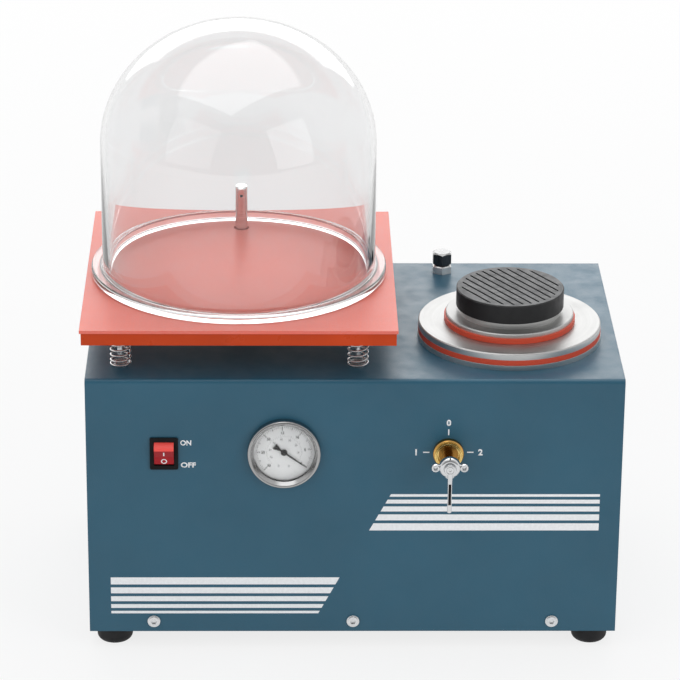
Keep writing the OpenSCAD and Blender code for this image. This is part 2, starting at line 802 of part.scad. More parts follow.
module gauge_clamp() {
    leg = case_r + 3;
    back = gauge_depth + 2;
    color("#9aa0a4") on_front(gauge_x, gauge_z) {
        difference() {
            union() {
                for (s = [-1, 1]) translate([s * leg - 1, -8, -back]) cube([2, 16, back - sheet]);
                translate([-leg - 1, -8, -back]) cube([2 * leg + 2, 16, 2]);
            }
            translate([0, 0, -back - 1]) cylinder(d = gauge_stem_d + 2 * hole_gap, h = 4);
        }
        translate([0, 0, -back - nut_h]) difference() {
            hexagon(1.5 * gauge_stem_d, nut_h);
            translate([0, 0, -1]) cylinder(d = gauge_stem_d + 2 * run_gap, h = nut_h + 2);
        }
    }
}

// --- Rocker switch --------------------------------------------------------------------------
module switch_housing() {
    color("#171819") on_front(switch_x, switch_z) difference() {
        union() {
            rounded_plate(switch_w, switch_h, 1.5, switch_bezel_t);
            translate([0, 0, -switch_body_depth]) linear_extrude(switch_body_depth + eps)
                square([switch_body_w, switch_body_h], center = true);
        }
        translate([0, 0, -pivot_depth - rocker_r + 1]) linear_extrude(far / 10)
            square([opening_w, opening_h], center = true);
        translate([-opening_w / 2 - pivot_len, 0, -pivot_depth]) rotate([0, 90, 0])
            cylinder(r = pivot_r + run_gap, h = opening_w + 2 * pivot_len, $fn = 32);
        for (y = [-blade_y, blade_y]) translate([0, y, -switch_body_depth - 1]) linear_extrude(7)
            square([blade_w + 2 * run_gap, blade_t + 2 * run_gap], center = true);
    }
}

// The rocker's side outline about its pivot: height across, outward up
module rocker_outline() {
    tip = [tip_r * cos(tip_angle), tip_r * sin(tip_angle)];
    polygon(concat([[0, rocker_rise], [-tip[0], tip[1]]],
        arc(rocker_r, 180 - wall_angle, 180 + back_angle, 8),
        arc(rocker_r, -back_angle, wall_angle, 8), [tip]));
}

module switch_rocker() {
    color("#b3131c") on_front(switch_x, switch_z) translate([0, 0, -pivot_depth])
        rotate([rocker_tilt, 0, 0]) {
            translate([-rocker_w / 2, 0, 0]) rotate([90, 0, 90]) linear_extrude(rocker_w) rocker_outline();
            translate([-rocker_w / 2 - pivot_len, 0, 0]) rotate([0, 90, 0])
                cylinder(r = pivot_r, h = rocker_w + 2 * pivot_len, $fn = 32);
        }
}

module switch_terminals() {
    color("#c9a24b") on_front(switch_x, switch_z) for (y = [-blade_y, blade_y])
        translate([0, y, -switch_body_depth - blade_len + 6]) linear_extrude(blade_len)
            square([blade_w, blade_t], center = true);
}

// --- Vacuum valve ---------------------------------------------------------------------------
module valve_body() {
    r = valve_body_d / 2;
    color("#b58a3a") on_front(valve_x, valve_z) difference() {
        union() {
            translate([0, 0, -valve_depth]) cylinder(r = r, h = valve_depth - sheet);
            cylinder(d = neck_d, h = neck_front);
            translate([0, 0, -sheet - eps]) cylinder(d = neck_d, h = sheet + 2 * eps);
            for (a = [-90, 90]) translate([0, 0, valve_port_z]) rotate([0, a, 0])
                translate([0, 0, r]) barb(barb_d / 2, barb_len);
            translate([0, 0, gauge_port_z]) rotate([90, 0, 0])
                translate([0, 0, r]) barb(barb_d / 2, barb_len);
            translate([0, 0, -valve_depth]) rotate([180, 0, 0]) barb(barb_d / 2, barb_len);
        }
        translate([0, 0, plug_back]) cylinder(d = plug_d + 2 * run_gap, h = plug_front - plug_back);
        cylinder(d = spindle_d + 2 * run_gap, h = 2 * far, center = false);
        translate([0, 0, plug_front - 1]) cylinder(d = spindle_d + 2 * run_gap, h = 20 - plug_front);
        for (a = [-90, 90]) translate([0, 0, valve_port_z]) rotate([0, a, 0])
            cylinder(d = passage_d - 2, h = r + barb_len + 1);
        translate([0, 0, gauge_port_z]) rotate([90, 0, 0]) cylinder(d = passage_d - 2, h = r + barb_len + 1);
        translate([0, 0, -valve_depth - barb_len - 1])
            cylinder(d = passage_d - 2, h = valve_depth + plug_back + barb_len + 2);
    }
}

module valve_nut() {
    step_d = nut_d - 3.4;
    color("#c79a45") on_front(valve_x, valve_z) difference() {
        union() {
            cylinder(d = nut_d, h = nut_t - 1);
            translate([0, 0, nut_t - 1 - eps]) cylinder(d1 = nut_d, d2 = nut_d - 2, h = 1 + eps);
            cylinder(d = step_d, h = nut_t + nut_step_t);
        }
        translate([0, 0, -1]) cylinder(d = neck_d + 2 * run_gap, h = far / 10);
        translate([0, 0, neck_front]) cylinder(d = step_d - 4, h = far / 10);
    }
}

module valve_plug() {
    color("#d0a855") on_front(valve_x, valve_z) difference() {
        union() {
            translate([0, 0, plug_back + hole_gap])
                cylinder(d = plug_d, h = plug_front - plug_back - 2 * hole_gap);
            translate([0, 0, plug_front - 1])
                cylinder(d = spindle_d, h = cap_standoff + cap_t - plug_front + 1);
        }
        translate([0, 0, valve_port_z]) rotate([-90, 0, 0]) cylinder(d = passage_d, h = plug_d);
        translate([0, 0, plug_back]) cylinder(d = passage_d, h = valve_port_z - plug_back + 1);
        translate([0, 0, cap_standoff + cap_t - 8]) cylinder(d = 3 + 2 * run_gap, h = 10);
    }
}

module handle_cap() {
    r = cap_d / 2;
    side = acos(r / handle_tip);
    edge = 0.97 * [r * sin(side), -r * cos(side)];
    color("#c8cbce") on_front(valve_x, valve_z) translate([0, 0, cap_standoff]) difference() {
        union() {
            rotate_extrude() polygon([[0, 0], [r, 0], [r, cap_t - 1], [r - 1, cap_t], [0, cap_t]]);
            linear_extrude(cap_t - 1.5) polygon([[0, 0.5], [-edge[0], edge[1]], [0, -handle_tip], edge]);
            for (s = [-1, 1]) {
                translate([s * handle_lug_x, 0, 1]) cylinder(r = handle_lug_r, h = cap_t - 2.2);
                translate([s * handle_lug_x / 2 - handle_lug_x / 2, -1.5, 2])
                    cube([handle_lug_x, 3, cap_t - 4]);
            }
            translate([-0.8, r - 2, cap_t - 2]) cube([1.6, 3, 1.8]);
        }
        translate([0, 0, -1]) cylinder(d = spindle_d + 2 * run_gap, h = cap_t + 2);
        for (s = [-1, 1]) translate([s * handle_lug_x, 0, cap_t - 2]) cylinder(r = 1.2, h = 3, $fn = 24);
    }
}

module handle_lever() {
    color("#d4d6d8") on_front(valve_x, valve_z) translate([0, 0, cap_standoff + cap_t]) difference() {
        union() {
            cylinder(d = hub_d, h = lever_t);
            translate([-lever_w / 2, -lever_len + lever_w / 2, 0])
                cube([lever_w, lever_len - lever_w / 2, lever_t]);
            translate([0, -lever_len + lever_w / 2, 0]) cylinder(d = lever_w, h = lever_t);
        }
        translate([0, 0, lever_t - 1.4]) cylinder(r = screw_head_r + run_gap, h = 3, $fn = 32);
        translate([0, 0, -1]) cylinder(d = 3 + 2 * run_gap, h = lever_t + 2, $fn = 32);
        translate([-inlay_w / 2, -inlay_end, lever_t - inlay_t]) cube([inlay_w, inlay_end - inlay_start, 2]);
    }
}

module lever_inlay() {
    color("#141415") on_front(valve_x, valve_z)
        translate([-inlay_w / 2 + run_gap, -inlay_end + run_gap, cap_standoff + cap_t + lever_t - inlay_t])
            cube([inlay_w - 2 * run_gap, inlay_end - inlay_start - 2 * run_gap, inlay_t]);
}

module handle_screw() {
    color("#c0c3c6") on_front(valve_x, valve_z) translate([0, 0, cap_standoff + cap_t + lever_t - 1.4]) {
        difference() {
            cylinder(r = screw_head_r, h = 1.2, $fn = 32);
            translate([0, 0, 0.5]) hexagon(2, 1);
        }
        translate([0, 0, -6]) cylinder(d = 3, h = 6 + eps, $fn = 32);
    }
}

// --- Casting chamber ------------------------------------------------------------------------
module chamber_pot() {
    color("#c6c8ca") translate([px, py, 0]) difference() {
        union() {
            translate([0, 0, pot_floor]) cylinder(r = pot_r + pot_wall, h = pot_depth + eps);
            translate([0, 0, top_z]) cylinder(d = ring_d, h = ring_t);
        }
        translate([0, 0, pot_floor + pot_wall + 1.5]) cylinder(r = pot_r, h = far);
        translate([0, 0, pot_floor - 1]) cylinder(d = elbow_d - 4 + 2 * run_gap, h = 10);
    }
}

module chamber_gasket() {
    color("#c2402f") translate([px, py, ring_z]) difference() {
        cylinder(d = adapter_d + 0.4, h = gasket_t);
        translate([0, 0, -1]) cylinder(d = gasket_bore_d, h = gasket_t + 2);
    }
}

// The elbow under the chamber, with a nut against the floor and a barb to the front
module chamber_elbow() {
    color("#b58a3a") translate([px, py, pot_floor]) difference() {
        union() {
            cylinder(d = elbow_d - 4, h = pot_wall + 3);
            translate([0, 0, -6]) hexagon(elbow_d + 4, 6);
            translate([0, 0, -elbow_drop]) cylinder(d = elbow_d, h = elbow_drop);
            translate([0, 0, -elbow_drop]) sphere(d = elbow_d);
            translate([0, 0, -elbow_drop]) rotate([90, 0, 0]) cylinder(d = elbow_d - 2, h = elbow_reach);
            translate([0, -elbow_reach, -elbow_drop]) rotate([90, 0, 0]) barb(barb_d / 2, barb_len);
        }
        translate([0, 0, -elbow_drop]) cylinder(d = passage_d - 2, h = far / 10);
        translate([0, 0, -elbow_drop]) rotate([90, 0, 0]) cylinder(d = passage_d - 2, h = far / 10);
    }
}

module adapter_plate() {
    spigot_d = pot_bore_d - 2 * drop_gap;
    color("#d0d2d4") translate([px, py, adapter_z]) difference() {
        union() {
            cylinder(d = adapter_d, h = adapter_t - 1);
            translate([0, 0, adapter_t - 1 - eps]) cylinder(d1 = adapter_d, d2 = adapter_d - 2, h = 1 + eps);
            translate([0, 0, -spigot_h]) cylinder(d = spigot_d, h = spigot_h + 1);
        }
        translate([0, 0, -spigot_h - 1]) cylinder(d = adapter_bore_d, h = far / 10);
        translate([0, 0, -spigot_h - 1]) cylinder(d = spigot_d - 2 * spigot_wall, h = spigot_h + 1);
    }
}

module flask_gasket() {
    color("#c8452f") translate([px, py, adapter_top]) difference() {
        cylinder(d = flask_gasket_d, h = flask_gasket_t);
        translate([0, 0, -1]) cylinder(d = adapter_bore_d, h = flask_gasket_t + 2);
    }
}

module casting_flask() {
    row_gap = (flask_drop - 16) / hole_rows;
    color("#cfd1d3") translate([px, py, 0]) difference() {
        union() {
            translate([0, 0, flask_bottom]) cylinder(d = flask_d, h = flask_drop + 1);
            translate([0, 0, flange_z]) cylinder(d = flask_flange_d, h = flask_flange_t - 0.8);
            translate([0, 0, flange_z + flask_flange_t - 0.8 - eps])
                cylinder(d1 = flask_flange_d, d2 = flask_flange_d - 1.6, h = 0.8 + eps);
            translate([0, 0, rim_z - eps]) cylinder(d = flask_rim_d, h = flask_rim_h + eps);
        }
        translate([0, 0, flask_bottom - 1]) cylinder(d = flask_bore_d, h = far);
        for (row = [0 : hole_rows - 1], i = [0 : holes_round - 1])
            translate([0, 0, flask_bottom + 12 + row * row_gap]) rotate(360 * (i + row % 2 / 2) / holes_round)
                translate([flask_bore_d / 2 - 3, 0, 0]) rotate([0, 90, 0])
                    cylinder(d = flask_hole_d, h = flask_wall + 6, $fn = 24);
    }
}

module sprue_base() {
    r = base_d / 2;
    reach = r - groove_border;
    side_grooves = floor(reach / groove_pitch);
    color("#1d1e20") translate([px, py, base_z]) difference() {
        union() {
            cylinder(r = r, h = base_t - 1);
            translate([0, 0, base_t - 1 - eps]) cylinder(r1 = r, r2 = r - 1, h = 1 + eps);
            translate([0, 0, -plug_depth]) cylinder(d = flask_bore_d - 2 * drop_gap, h = plug_depth + 1);
        }
        intersection() {
            translate([0, 0, base_t - groove_depth]) cylinder(r = reach, h = far / 10);
            rotate(groove_angle) for (i = [-side_grooves : side_grooves])
                translate([-r, i * groove_pitch - groove_w / 2, 0]) cube([2 * r, groove_w, far / 10]);
        }
    }
}

// --- Oil filler -----------------------------------------------------------------------------
module filler_neck() {
    color("#c3c6c9") translate([fx, fy, 0]) difference() {
        union() {
            translate([0, 0, pump_top - 8]) cylinder(r = neck_r, h = top_z - pump_top + 8 + 1);
            translate([0, 0, top_z]) rotate(30) hexagon(hex_af, filler_nut_h - 1);
            translate([0, 0, filler_nut_top - 1 - eps]) cylinder(d1 = hex_af, d2 = hex_af - 2, h = 1 + eps);
            cylinder_from(filler_nut_top - eps, filler_thread_d / 2, cap_z + thread_len - 1);
        }
        translate([0, 0, pump_top - 9]) cylinder(d = filler_thread_d - 5, h = far);
    }
}

module cylinder_from(z0, r, z1) {
    translate([0, 0, z0]) cylinder(r = r, h = z1 - z0);
}

module cap_seal() {
    color("#1a1a1b") translate([fx, fy, filler_nut_top]) difference() {
        cylinder(d = hex_af - 2.5, h = seal_t);
        translate([0, 0, -1]) cylinder(d = filler_thread_d + 2 * run_gap, h = seal_t + 2);
    }
}

module filler_cap() {
    color("#2c2e30") translate([fx, fy, cap_z]) difference() {
        intersection() {
            rotate(30) hexagon(hex_af, filler_cap_h);
            rotate_extrude() polygon([[0, 0], [hex_af / 2, 0], [hex_af / 2 + 1.6, 0.9],
                [hex_af / 2 + 1.6, filler_cap_h - 1.8], [hex_af / 2 - 1.4, filler_cap_h], [0, filler_cap_h]]);
        }
        translate([0, 0, -1]) cylinder(d = filler_thread_d + 2 * run_gap, h = thread_len + 1);
    }
}

// --- Investing table ------------------------------------------------------------------------
module table_plate() {
    color("#b23a10") difference() {
        translate([tx - table_w / 2, ty - table_d / 2, plate_z]) cube([table_w, table_d, table_t]);
        translate([tube_wx, tube_wy, plate_z - 1]) cylinder(d = tube_d + 2 * run_gap, h = table_t + 2);
        at_springs() translate([0, 0, plate_z - 1]) cylinder(d = peg_d + 2 * run_gap, h = peg_seat + 1);
    }
}

module table_mat() {
    w = table_w + 2 * mat_over;
    d = table_d + 2 * mat_over;
    color("#e88478") difference() {
        translate([tx - w / 2, ty - d / 2, mat_z]) cube([w, d, mat_t]);
        translate([tube_wx, tube_wy, mat_z - 1]) cylinder(d = mat_hole_d, h = mat_t + 2);
    }
}

module table_pegs() {
    color("#9ea2a6") at_springs() {
        translate([0, 0, plate_z - peg_len]) cylinder(d = peg_d, h = peg_len + peg_seat);
        translate([0, 0, plate_z - peg_len - 1]) cylinder(d1 = peg_d - 2, d2 = peg_d, h = 1 + eps);
    }
}

module spring_seats() {
    color("#a8acaf") at_springs() {
        translate([0, 0, top_z]) pan_screw(seat_head_d, seat_head_h, seat_screw_d, sheet + nut_h + 3);
        translate([0, 0, top_z - sheet - nut_h]) difference() {
            hexagon(1.6 * seat_screw_d, nut_h);
            translate([0, 0, -1]) cylinder(d = seat_screw_d + 2 * run_gap, h = nut_h + 2);
        }
    }
}

module air_tube() {
    color("#d6d8da") translate([tube_wx, tube_wy, 0]) difference() {
        union() {
            cylinder_from(tube_end, tube_d / 2, tube_top - 0.8);
            translate([0, 0, tube_top - 0.8 - eps]) cylinder(d1 = tube_d, d2 = tube_d - 1.6, h = 0.8 + eps);
            translate([0, 0, plate_z - tube_collar_t]) hexagon(tube_d + 7, tube_collar_t);
            translate([0, 0, tube_end]) rotate([180, 0, 0]) barb(barb_d / 2, barb_len);
        }
        translate([0, 0, tube_end - barb_len - 1]) cylinder(d = passage_d - 2, h = barb_len + 4);
        cylinder_from(tube_end + 2, tube_d / 2 - tube_wall, tube_top - 2.5);
        for (a = [0, 90]) translate([0, 0, tube_top - 8]) rotate([90, 0, a])
            cylinder(d = cross_hole_d, h = 2 * tube_d, center = true, $fn = 24);
    }
}

module tube_grommet() {
    bore = tube_d / 2 + drop_gap / 2;
    lip = grommet_lip_d / 2;
    neck = grommet_groove_d / 2;
    color("#1b1c1d") translate([tube_wx, tube_wy, top_z]) rotate_extrude() polygon([
        [bore, -sheet - grommet_lip_t], [lip, -sheet - grommet_lip_t], [lip, -sheet], [neck, -sheet],
        [neck, 0], [lip, 0], [lip, grommet_lip_t], [bore, grommet_lip_t]]);
}

// Height of the wire's middle after t turns: one closed turn at each end, open turns between
function wire_z(t) = wire_rest + (t < 1 ? t * closed_pitch
    : t < spring_turns - 1 ? closed_pitch + (t - 1) * open_pitch
    : spring_h - 2 * wire_rest - (spring_turns - t) * closed_pitch);

// The middle line of a spring's wire
function wire_path(per_turn) = let (n = round(spring_turns * per_turn))
    [for (i = [0 : n]) let (t = spring_turns * i / n)
        [coil_r * cos(360 * t), coil_r * sin(360 * t), wire_z(t)]];

// The least gap between turns, taken on points a third of a turn or more apart
fine = wire_path(3 * coil_rings);
coil_gap = min([for (i = [0 : len(fine) - 1]) for (j = [i + coil_rings : len(fine) - 1])
    norm(fine[i] - fine[j])]) - wire_d;
echo(least_gap_between_turns = coil_gap);

module table_spring(x, y) {
    color("#c5c8ca") translate([tx + x * spring_pitch_x / 2, ty + y * spring_pitch_y / 2, top_z])
        tube(wire_path(coil_rings), wire_d / 2, wire_sides);
}

module spring_front_left() { table_spring(-1, -1); }
module spring_front_right() { table_spring(1, -1); }
module spring_rear_left() { table_spring(-1, 1); }
module spring_rear_right() { table_spring(1, 1); }

// --- Bell jar -------------------------------------------------------------------------------
// A quarter of the dome's outline, from its rim to its top
function dome(r, h, base) = [for (i = [0 : jar_steps]) let (a = 90 * i / jar_steps)
    [r * cos(a), base + h * sin(a)]];

module bell_jar() {
    r = jar_d / 2;
    flange_r = jar_flange_d / 2;
    lip = 1.2;
    inner = dome(r - jar_wall, jar_dome - jar_wall, jar_straight);
    color("#e9edf0", 0.35) translate([jar_x, jar_y, deck_z]) rotate_extrude($fn = 128) polygon(concat(
        [[r - jar_wall, 0], [flange_r - lip, 0], [flange_r, lip], [flange_r, jar_flange_t - lip],
            [flange_r - lip, jar_flange_t], [r + 2, jar_flange_t], [r, jar_flange_t + 2]],
        dome(r, jar_dome, jar_straight),
        [for (i = [jar_steps : -1 : 0]) inner[i]]));
}

// --- Pump and motor -------------------------------------------------------------------------
// Places its children on the shaft's line, their +Z towards +X
module on_shaft(x) {
    translate([x, shaft_wy, shaft_wz]) rotate([0, 90, 0]) children();
}

module motor_body() {
    color("#30363b") difference() {
        union() {
            on_shaft(motor_left) cylinder(d = motor_d - 6, h = motor_len);
            on_shaft(motor_left + end_bell) cylinder(d = motor_d, h = motor_len - 2 * end_bell);
            translate([mount_xs[0] - 15, shaft_wy - mount_y - 10, pump_bottom])
                cube([mount_xs[1] - mount_xs[0] + 30, 2 * mount_y + 20, foot_plate_t]);
            translate([mount_xs[0] - 5, shaft_wy - 30, pump_bottom])
                cube([mount_xs[1] - mount_xs[0] + 10, 60, shaft_wz - pump_bottom - motor_r + 12]);
        }
        on_shaft(motor_left - 1) cylinder(r = shaft_d / 2 + run_gap, h = motor_len + 2);
        on_shaft(motor_left + end_bell) cylinder(d = armature_d + 4, h = motor_len - 2 * end_bell);
        for (i = [0, 1], y = [-1, 1]) translate([mount_xs[i], shaft_wy + y * mount_y, pump_bottom - 1])
            cylinder(d = mount_screw_d + 2 * hole_gap, h = foot_plate_t + 2);
    }
}

module motor_shaft() {
    color("#b4b8bb") {
        on_shaft(motor_left - fan_gap - fan_t) 
            cylinder(d = shaft_d, h = motor_len + fan_gap + fan_t + pump_wall + 2 + shaft_grip);
        on_shaft(motor_left + end_bell + 6) cylinder(d = armature_d, h = armature_len);
    }
}

module cooling_fan() {
    color("#202224") on_shaft(motor_left - fan_gap - fan_t) difference() {
        union() {
            cylinder(d = fan_hub_d, h = fan_t);
            for (i = [0 : fan_blades - 1]) rotate(i * 360 / fan_blades) translate([0, -1, 1])
                cube([fan_d / 2, 2, fan_t - 2]);
        }
        translate([0, 0, -1]) cylinder(d = shaft_d + 2 * run_gap, h = fan_t + 2);
    }
}

module pump_body() {
    color("#54585b") difference() {
        union() {
            translate([drive_wx, shaft_wy - pump_w / 2, pump_bottom]) cube([pump_len, pump_w, pump_h]);
            translate([drive_wx + pump_len - eps, tank_front, pump_bottom])
                cube([tank_len + eps, tank_w, pump_h]);
            translate(intake) rotate([90, 0, 0]) barb(barb_d / 2, barb_len);
        }
        on_shaft(drive_wx + pump_wall) translate([eccentric, 0, 0]) cylinder(d = stator_d, h = rotor_len + 4);
        on_shaft(drive_wx - 1) cylinder(r = shaft_d / 2 + run_gap, h = pump_wall + 2);
        translate([drive_wx + pump_len + 6, tank_front + 6, pump_bottom + 6])
            cube([tank_len - 12, tank_w - 12, pump_h - 12]);
        translate([fx, fy, pump_top - 8]) cylinder(r = neck_r + run_gap, h = 10);
        translate(intake - [0, barb_len + 1, 0]) rotate([-90, 0, 0])
            cylinder(d = passage_d - 2, h = pump_w / 2 + barb_len - 8);
        for (i = [2, 3], y = [-1, 1]) translate([mount_xs[i], shaft_wy + y * mount_y, pump_bottom - 1])
            cylinder(d = mount_screw_d + 2 * hole_gap, h = foot_plate_t + 2);
    }
}

module pump_rotor() {
    color("#8d9296") on_shaft(drive_wx + pump_wall + 2) difference() {
        cylinder(d = rotor_d, h = rotor_len);
        translate([0, 0, -1]) cylinder(d = shaft_d + 2 * run_gap, h = shaft_grip + 2);
        for (s = [-1, 1]) translate([s > 0 ? rotor_d / 2 - vane_h : -rotor_d / 2 - 1, -vane_t / 2, -1])
            cube([vane_h + 1, vane_t, rotor_len + 2]);
    }
}

module rotor_vanes() {
    color("#c2a36a") on_shaft(drive_wx + pump_wall + 2) for (s = [-1, 1])
        translate([s > 0 ? rotor_d / 2 - vane_h + 1 : -rotor_d / 2, -vane_t / 2 + run_gap, 0])
            cube([vane_h - 1, vane_t - 2 * run_gap, rotor_len]);
}

module pump_mounts() {
    color("#1c1c1d") for (x = mount_xs, y = [-1, 1]) translate([x, shaft_wy + y * mount_y, 0]) {
        cylinder_from(tray_top, mount_d / 2, pump_bottom);
        cylinder_from(pump_bottom - 1, mount_screw_d / 2, pump_bottom + foot_plate_t);
    }
}

module run_capacitor() {
    color("#c9ced2") translate([capacitor_x, capacitor_y, tray_top]) {
        cylinder(d = capacitor_d, h = capacitor_h);
        for (s = [-1, 1]) translate([s * capacitor_d / 5 - blade_w / 2, -blade_t / 2, capacitor_h - eps])
            cube([blade_w, blade_t, blade_len]);
    }
}

// --- Hoses ----------------------------------------------------------------------------------
valve_wx = cx + valve_x;
valve_wz = hood_z + valve_z;
port_y = front_y - valve_port_z;
port_r = valve_body_d / 2;
hose_rings = 12;
hose_sides = 8;
bore_r = (hose_bore / 2 + 0.3) / cos(180 / hose_sides);
plug_in = barb_len + 3;

// The table hose sags less where the motor comes closer under it
table_hose_sag = 27 + 0.5 * (tube_end - table_travel - shaft_wz - motor_r);

// A hose from the root of one barb, along its direction, to the root of another
module hose(a, leaving, d, arriving, slack) {
    start = a + plug_in * leaving;
    end = d - plug_in * arriving;
    color("#232425") pipe(concat([a], curve(start, start + slack * leaving, end - slack * arriving, end,
        hose_rings), [d]), hose_d / 2, bore_r, hose_sides);
}

module table_hose() {
    hose([valve_wx - port_r, port_y, valve_wz], [-1, 0, 0],
        [tube_wx, tube_wy, tube_end - table_travel], [0, 0, 1], table_hose_sag);
}

module chamber_hose() {
    hose([valve_wx + port_r, port_y, valve_wz], [1, 0, 0],
        [px, py - elbow_reach, pot_floor - elbow_drop], [0, 1, 0],
        0.8 * (valve_wz - pot_floor + elbow_drop));
}

module pump_hose() {
    hose([valve_wx, front_y + valve_depth, valve_wz], [0, 1, 0], intake, [0, 1, 0], 36);
}

module gauge_hose() {
    hose([cx + gauge_x, front_y + gauge_depth + gauge_stem_len, hood_z + gauge_z], [0, 1, 0],
        [valve_wx, front_y - gauge_port_z, valve_wz - port_r], [0, 0, 1], 38);
}

// --- Power inlet and wiring -----------------------------------------------------------------
module power_inlet() {
    color("#161617") on_rear(inlet_wx, inlet_wz) difference() {
        union() {
            rounded_plate(inlet_flange_w, inlet_flange_h, 3, inlet_flange_t);
            translate([0, 0, -socket_depth]) linear_extrude(socket_depth + eps)
                square([socket_w + 2 * inlet_wall, socket_h + 2 * inlet_wall], center = true);
        }
        translate([0, 0, -socket_depth + inlet_wall + inlet_flange_t]) linear_extrude(far / 10)
            square([socket_w, socket_h], center = true);
        for (p = inlet_pin_places()) translate([p[0], p[1], -far / 20]) linear_extrude(far / 20)
            square([pin_t, pin_w], center = true);
        for (s = [-1, 1]) translate([s * (inlet_flange_w / 2 - 5), 0, -1])
            cylinder(d = 3 + 2 * run_gap, h = inlet_flange_t + 2);
    }
}

function inlet_pin_places() = [[-pin_pitch, -1.5], [0, 2.5], [pin_pitch, -1.5]];

module inlet_pins() {
    color("#c8ccd0") on_rear(inlet_wx, inlet_wz) for (p = inlet_pin_places())
        translate([p[0], p[1], -socket_depth - 8]) linear_extrude(socket_depth + 4)
            square([pin_t - 2 * run_gap, pin_w - 2 * run_gap], center = true);
}

// The wires from the inlet rise behind the motor and pass over the fan to the switch
module wiring_loom() {
    wire_r = 3;
    a = [inlet_wx, rear_y + sheet - socket_depth - 8, inlet_wz];
    m = [inlet_wx, rear_y - 32, shaft_wz + motor_r];
    d = [cx + switch_x, front_y + switch_body_depth + blade_len - 5.8, hood_z + switch_z + blade_y];
    rise = curve(a, a - [0, 10, 0], m - [0, 0, 40], m, hose_rings);
    over = curve(m, m + [0, 0, 60], d + [0, 80, 20], d, hose_rings);
    color("#2a2c2e") tube(concat(rise, [for (i = [1 : hose_rings]) over[i]]), wire_r, 6);
}

hood();
base_tray();
rear_panel();
cover_screws();
rear_screws();
rubber_feet();
foot_screws();
gauge_case();
gauge_bezel();
gauge_dial();
gauge_lens();
gauge_needle();
gauge_movement();
gauge_clamp();
switch_housing();
switch_rocker();
switch_terminals();
valve_body();
valve_nut();
valve_plug();
handle_cap();
handle_lever();
lever_inlay();
handle_screw();
chamber_pot();
chamber_gasket();
chamber_elbow();
adapter_plate();
flask_gasket();
casting_flask();
sprue_base();
filler_neck();
cap_seal();
filler_cap();
table_plate();
table_mat();
table_pegs();
spring_seats();
air_tube();
tube_grommet();
spring_front_left();
spring_front_right();
spring_rear_left();
spring_rear_right();
bell_jar();
motor_body();
motor_shaft();
cooling_fan();
pump_body();
pump_rotor();
rotor_vanes();
pump_mounts();
run_capacitor();
table_hose();
chamber_hose();
pump_hose();
gauge_hose();
power_inlet();
inlet_pins();
wiring_loom();
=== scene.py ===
import math

import bmesh
import bpy
from mathutils import Matrix, Vector


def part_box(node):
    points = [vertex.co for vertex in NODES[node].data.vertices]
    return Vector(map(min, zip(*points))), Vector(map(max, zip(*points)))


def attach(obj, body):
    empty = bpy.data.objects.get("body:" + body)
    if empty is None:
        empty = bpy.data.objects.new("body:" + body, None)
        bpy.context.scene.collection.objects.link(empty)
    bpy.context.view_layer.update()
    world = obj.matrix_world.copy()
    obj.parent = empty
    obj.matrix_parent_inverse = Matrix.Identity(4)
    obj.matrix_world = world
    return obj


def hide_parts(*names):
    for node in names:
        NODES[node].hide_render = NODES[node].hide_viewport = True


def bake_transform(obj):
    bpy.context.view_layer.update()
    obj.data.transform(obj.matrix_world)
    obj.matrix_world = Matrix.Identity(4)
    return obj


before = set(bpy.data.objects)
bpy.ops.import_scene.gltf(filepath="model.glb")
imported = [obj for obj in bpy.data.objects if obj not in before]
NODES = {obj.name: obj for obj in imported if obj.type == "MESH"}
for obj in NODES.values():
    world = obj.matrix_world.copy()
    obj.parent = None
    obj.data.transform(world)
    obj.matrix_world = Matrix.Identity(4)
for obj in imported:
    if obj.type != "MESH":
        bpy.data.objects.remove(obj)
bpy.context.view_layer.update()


# ---- camera, fitted to the photograph ------------------------------------------------------
LENS_MM, SENSOR_MM = 181.04, 36
CAMERA_PLACE = (-0.072072, -3.032392, 1.527319)
CAMERA_RIGHT = Vector((0.999828, -0.016686, 0.008089))
CAMERA_UP = Vector((-0.001034, 0.385362, 0.922765))
CAMERA_BACK = Vector((-0.018515, -0.922615, 0.385278))


def add_camera():
    data = bpy.data.cameras.new("camera")
    data.lens = LENS_MM
    data.sensor_width = SENSOR_MM
    data.clip_end = 40
    cam = bpy.data.objects.new("camera", data)
    turn = Matrix((CAMERA_RIGHT, CAMERA_UP, CAMERA_BACK)).transposed().to_4x4()
    cam.matrix_world = Matrix.Translation(CAMERA_PLACE) @ turn
    bpy.context.scene.collection.objects.link(cam)
    bpy.context.scene.camera = cam


add_camera()


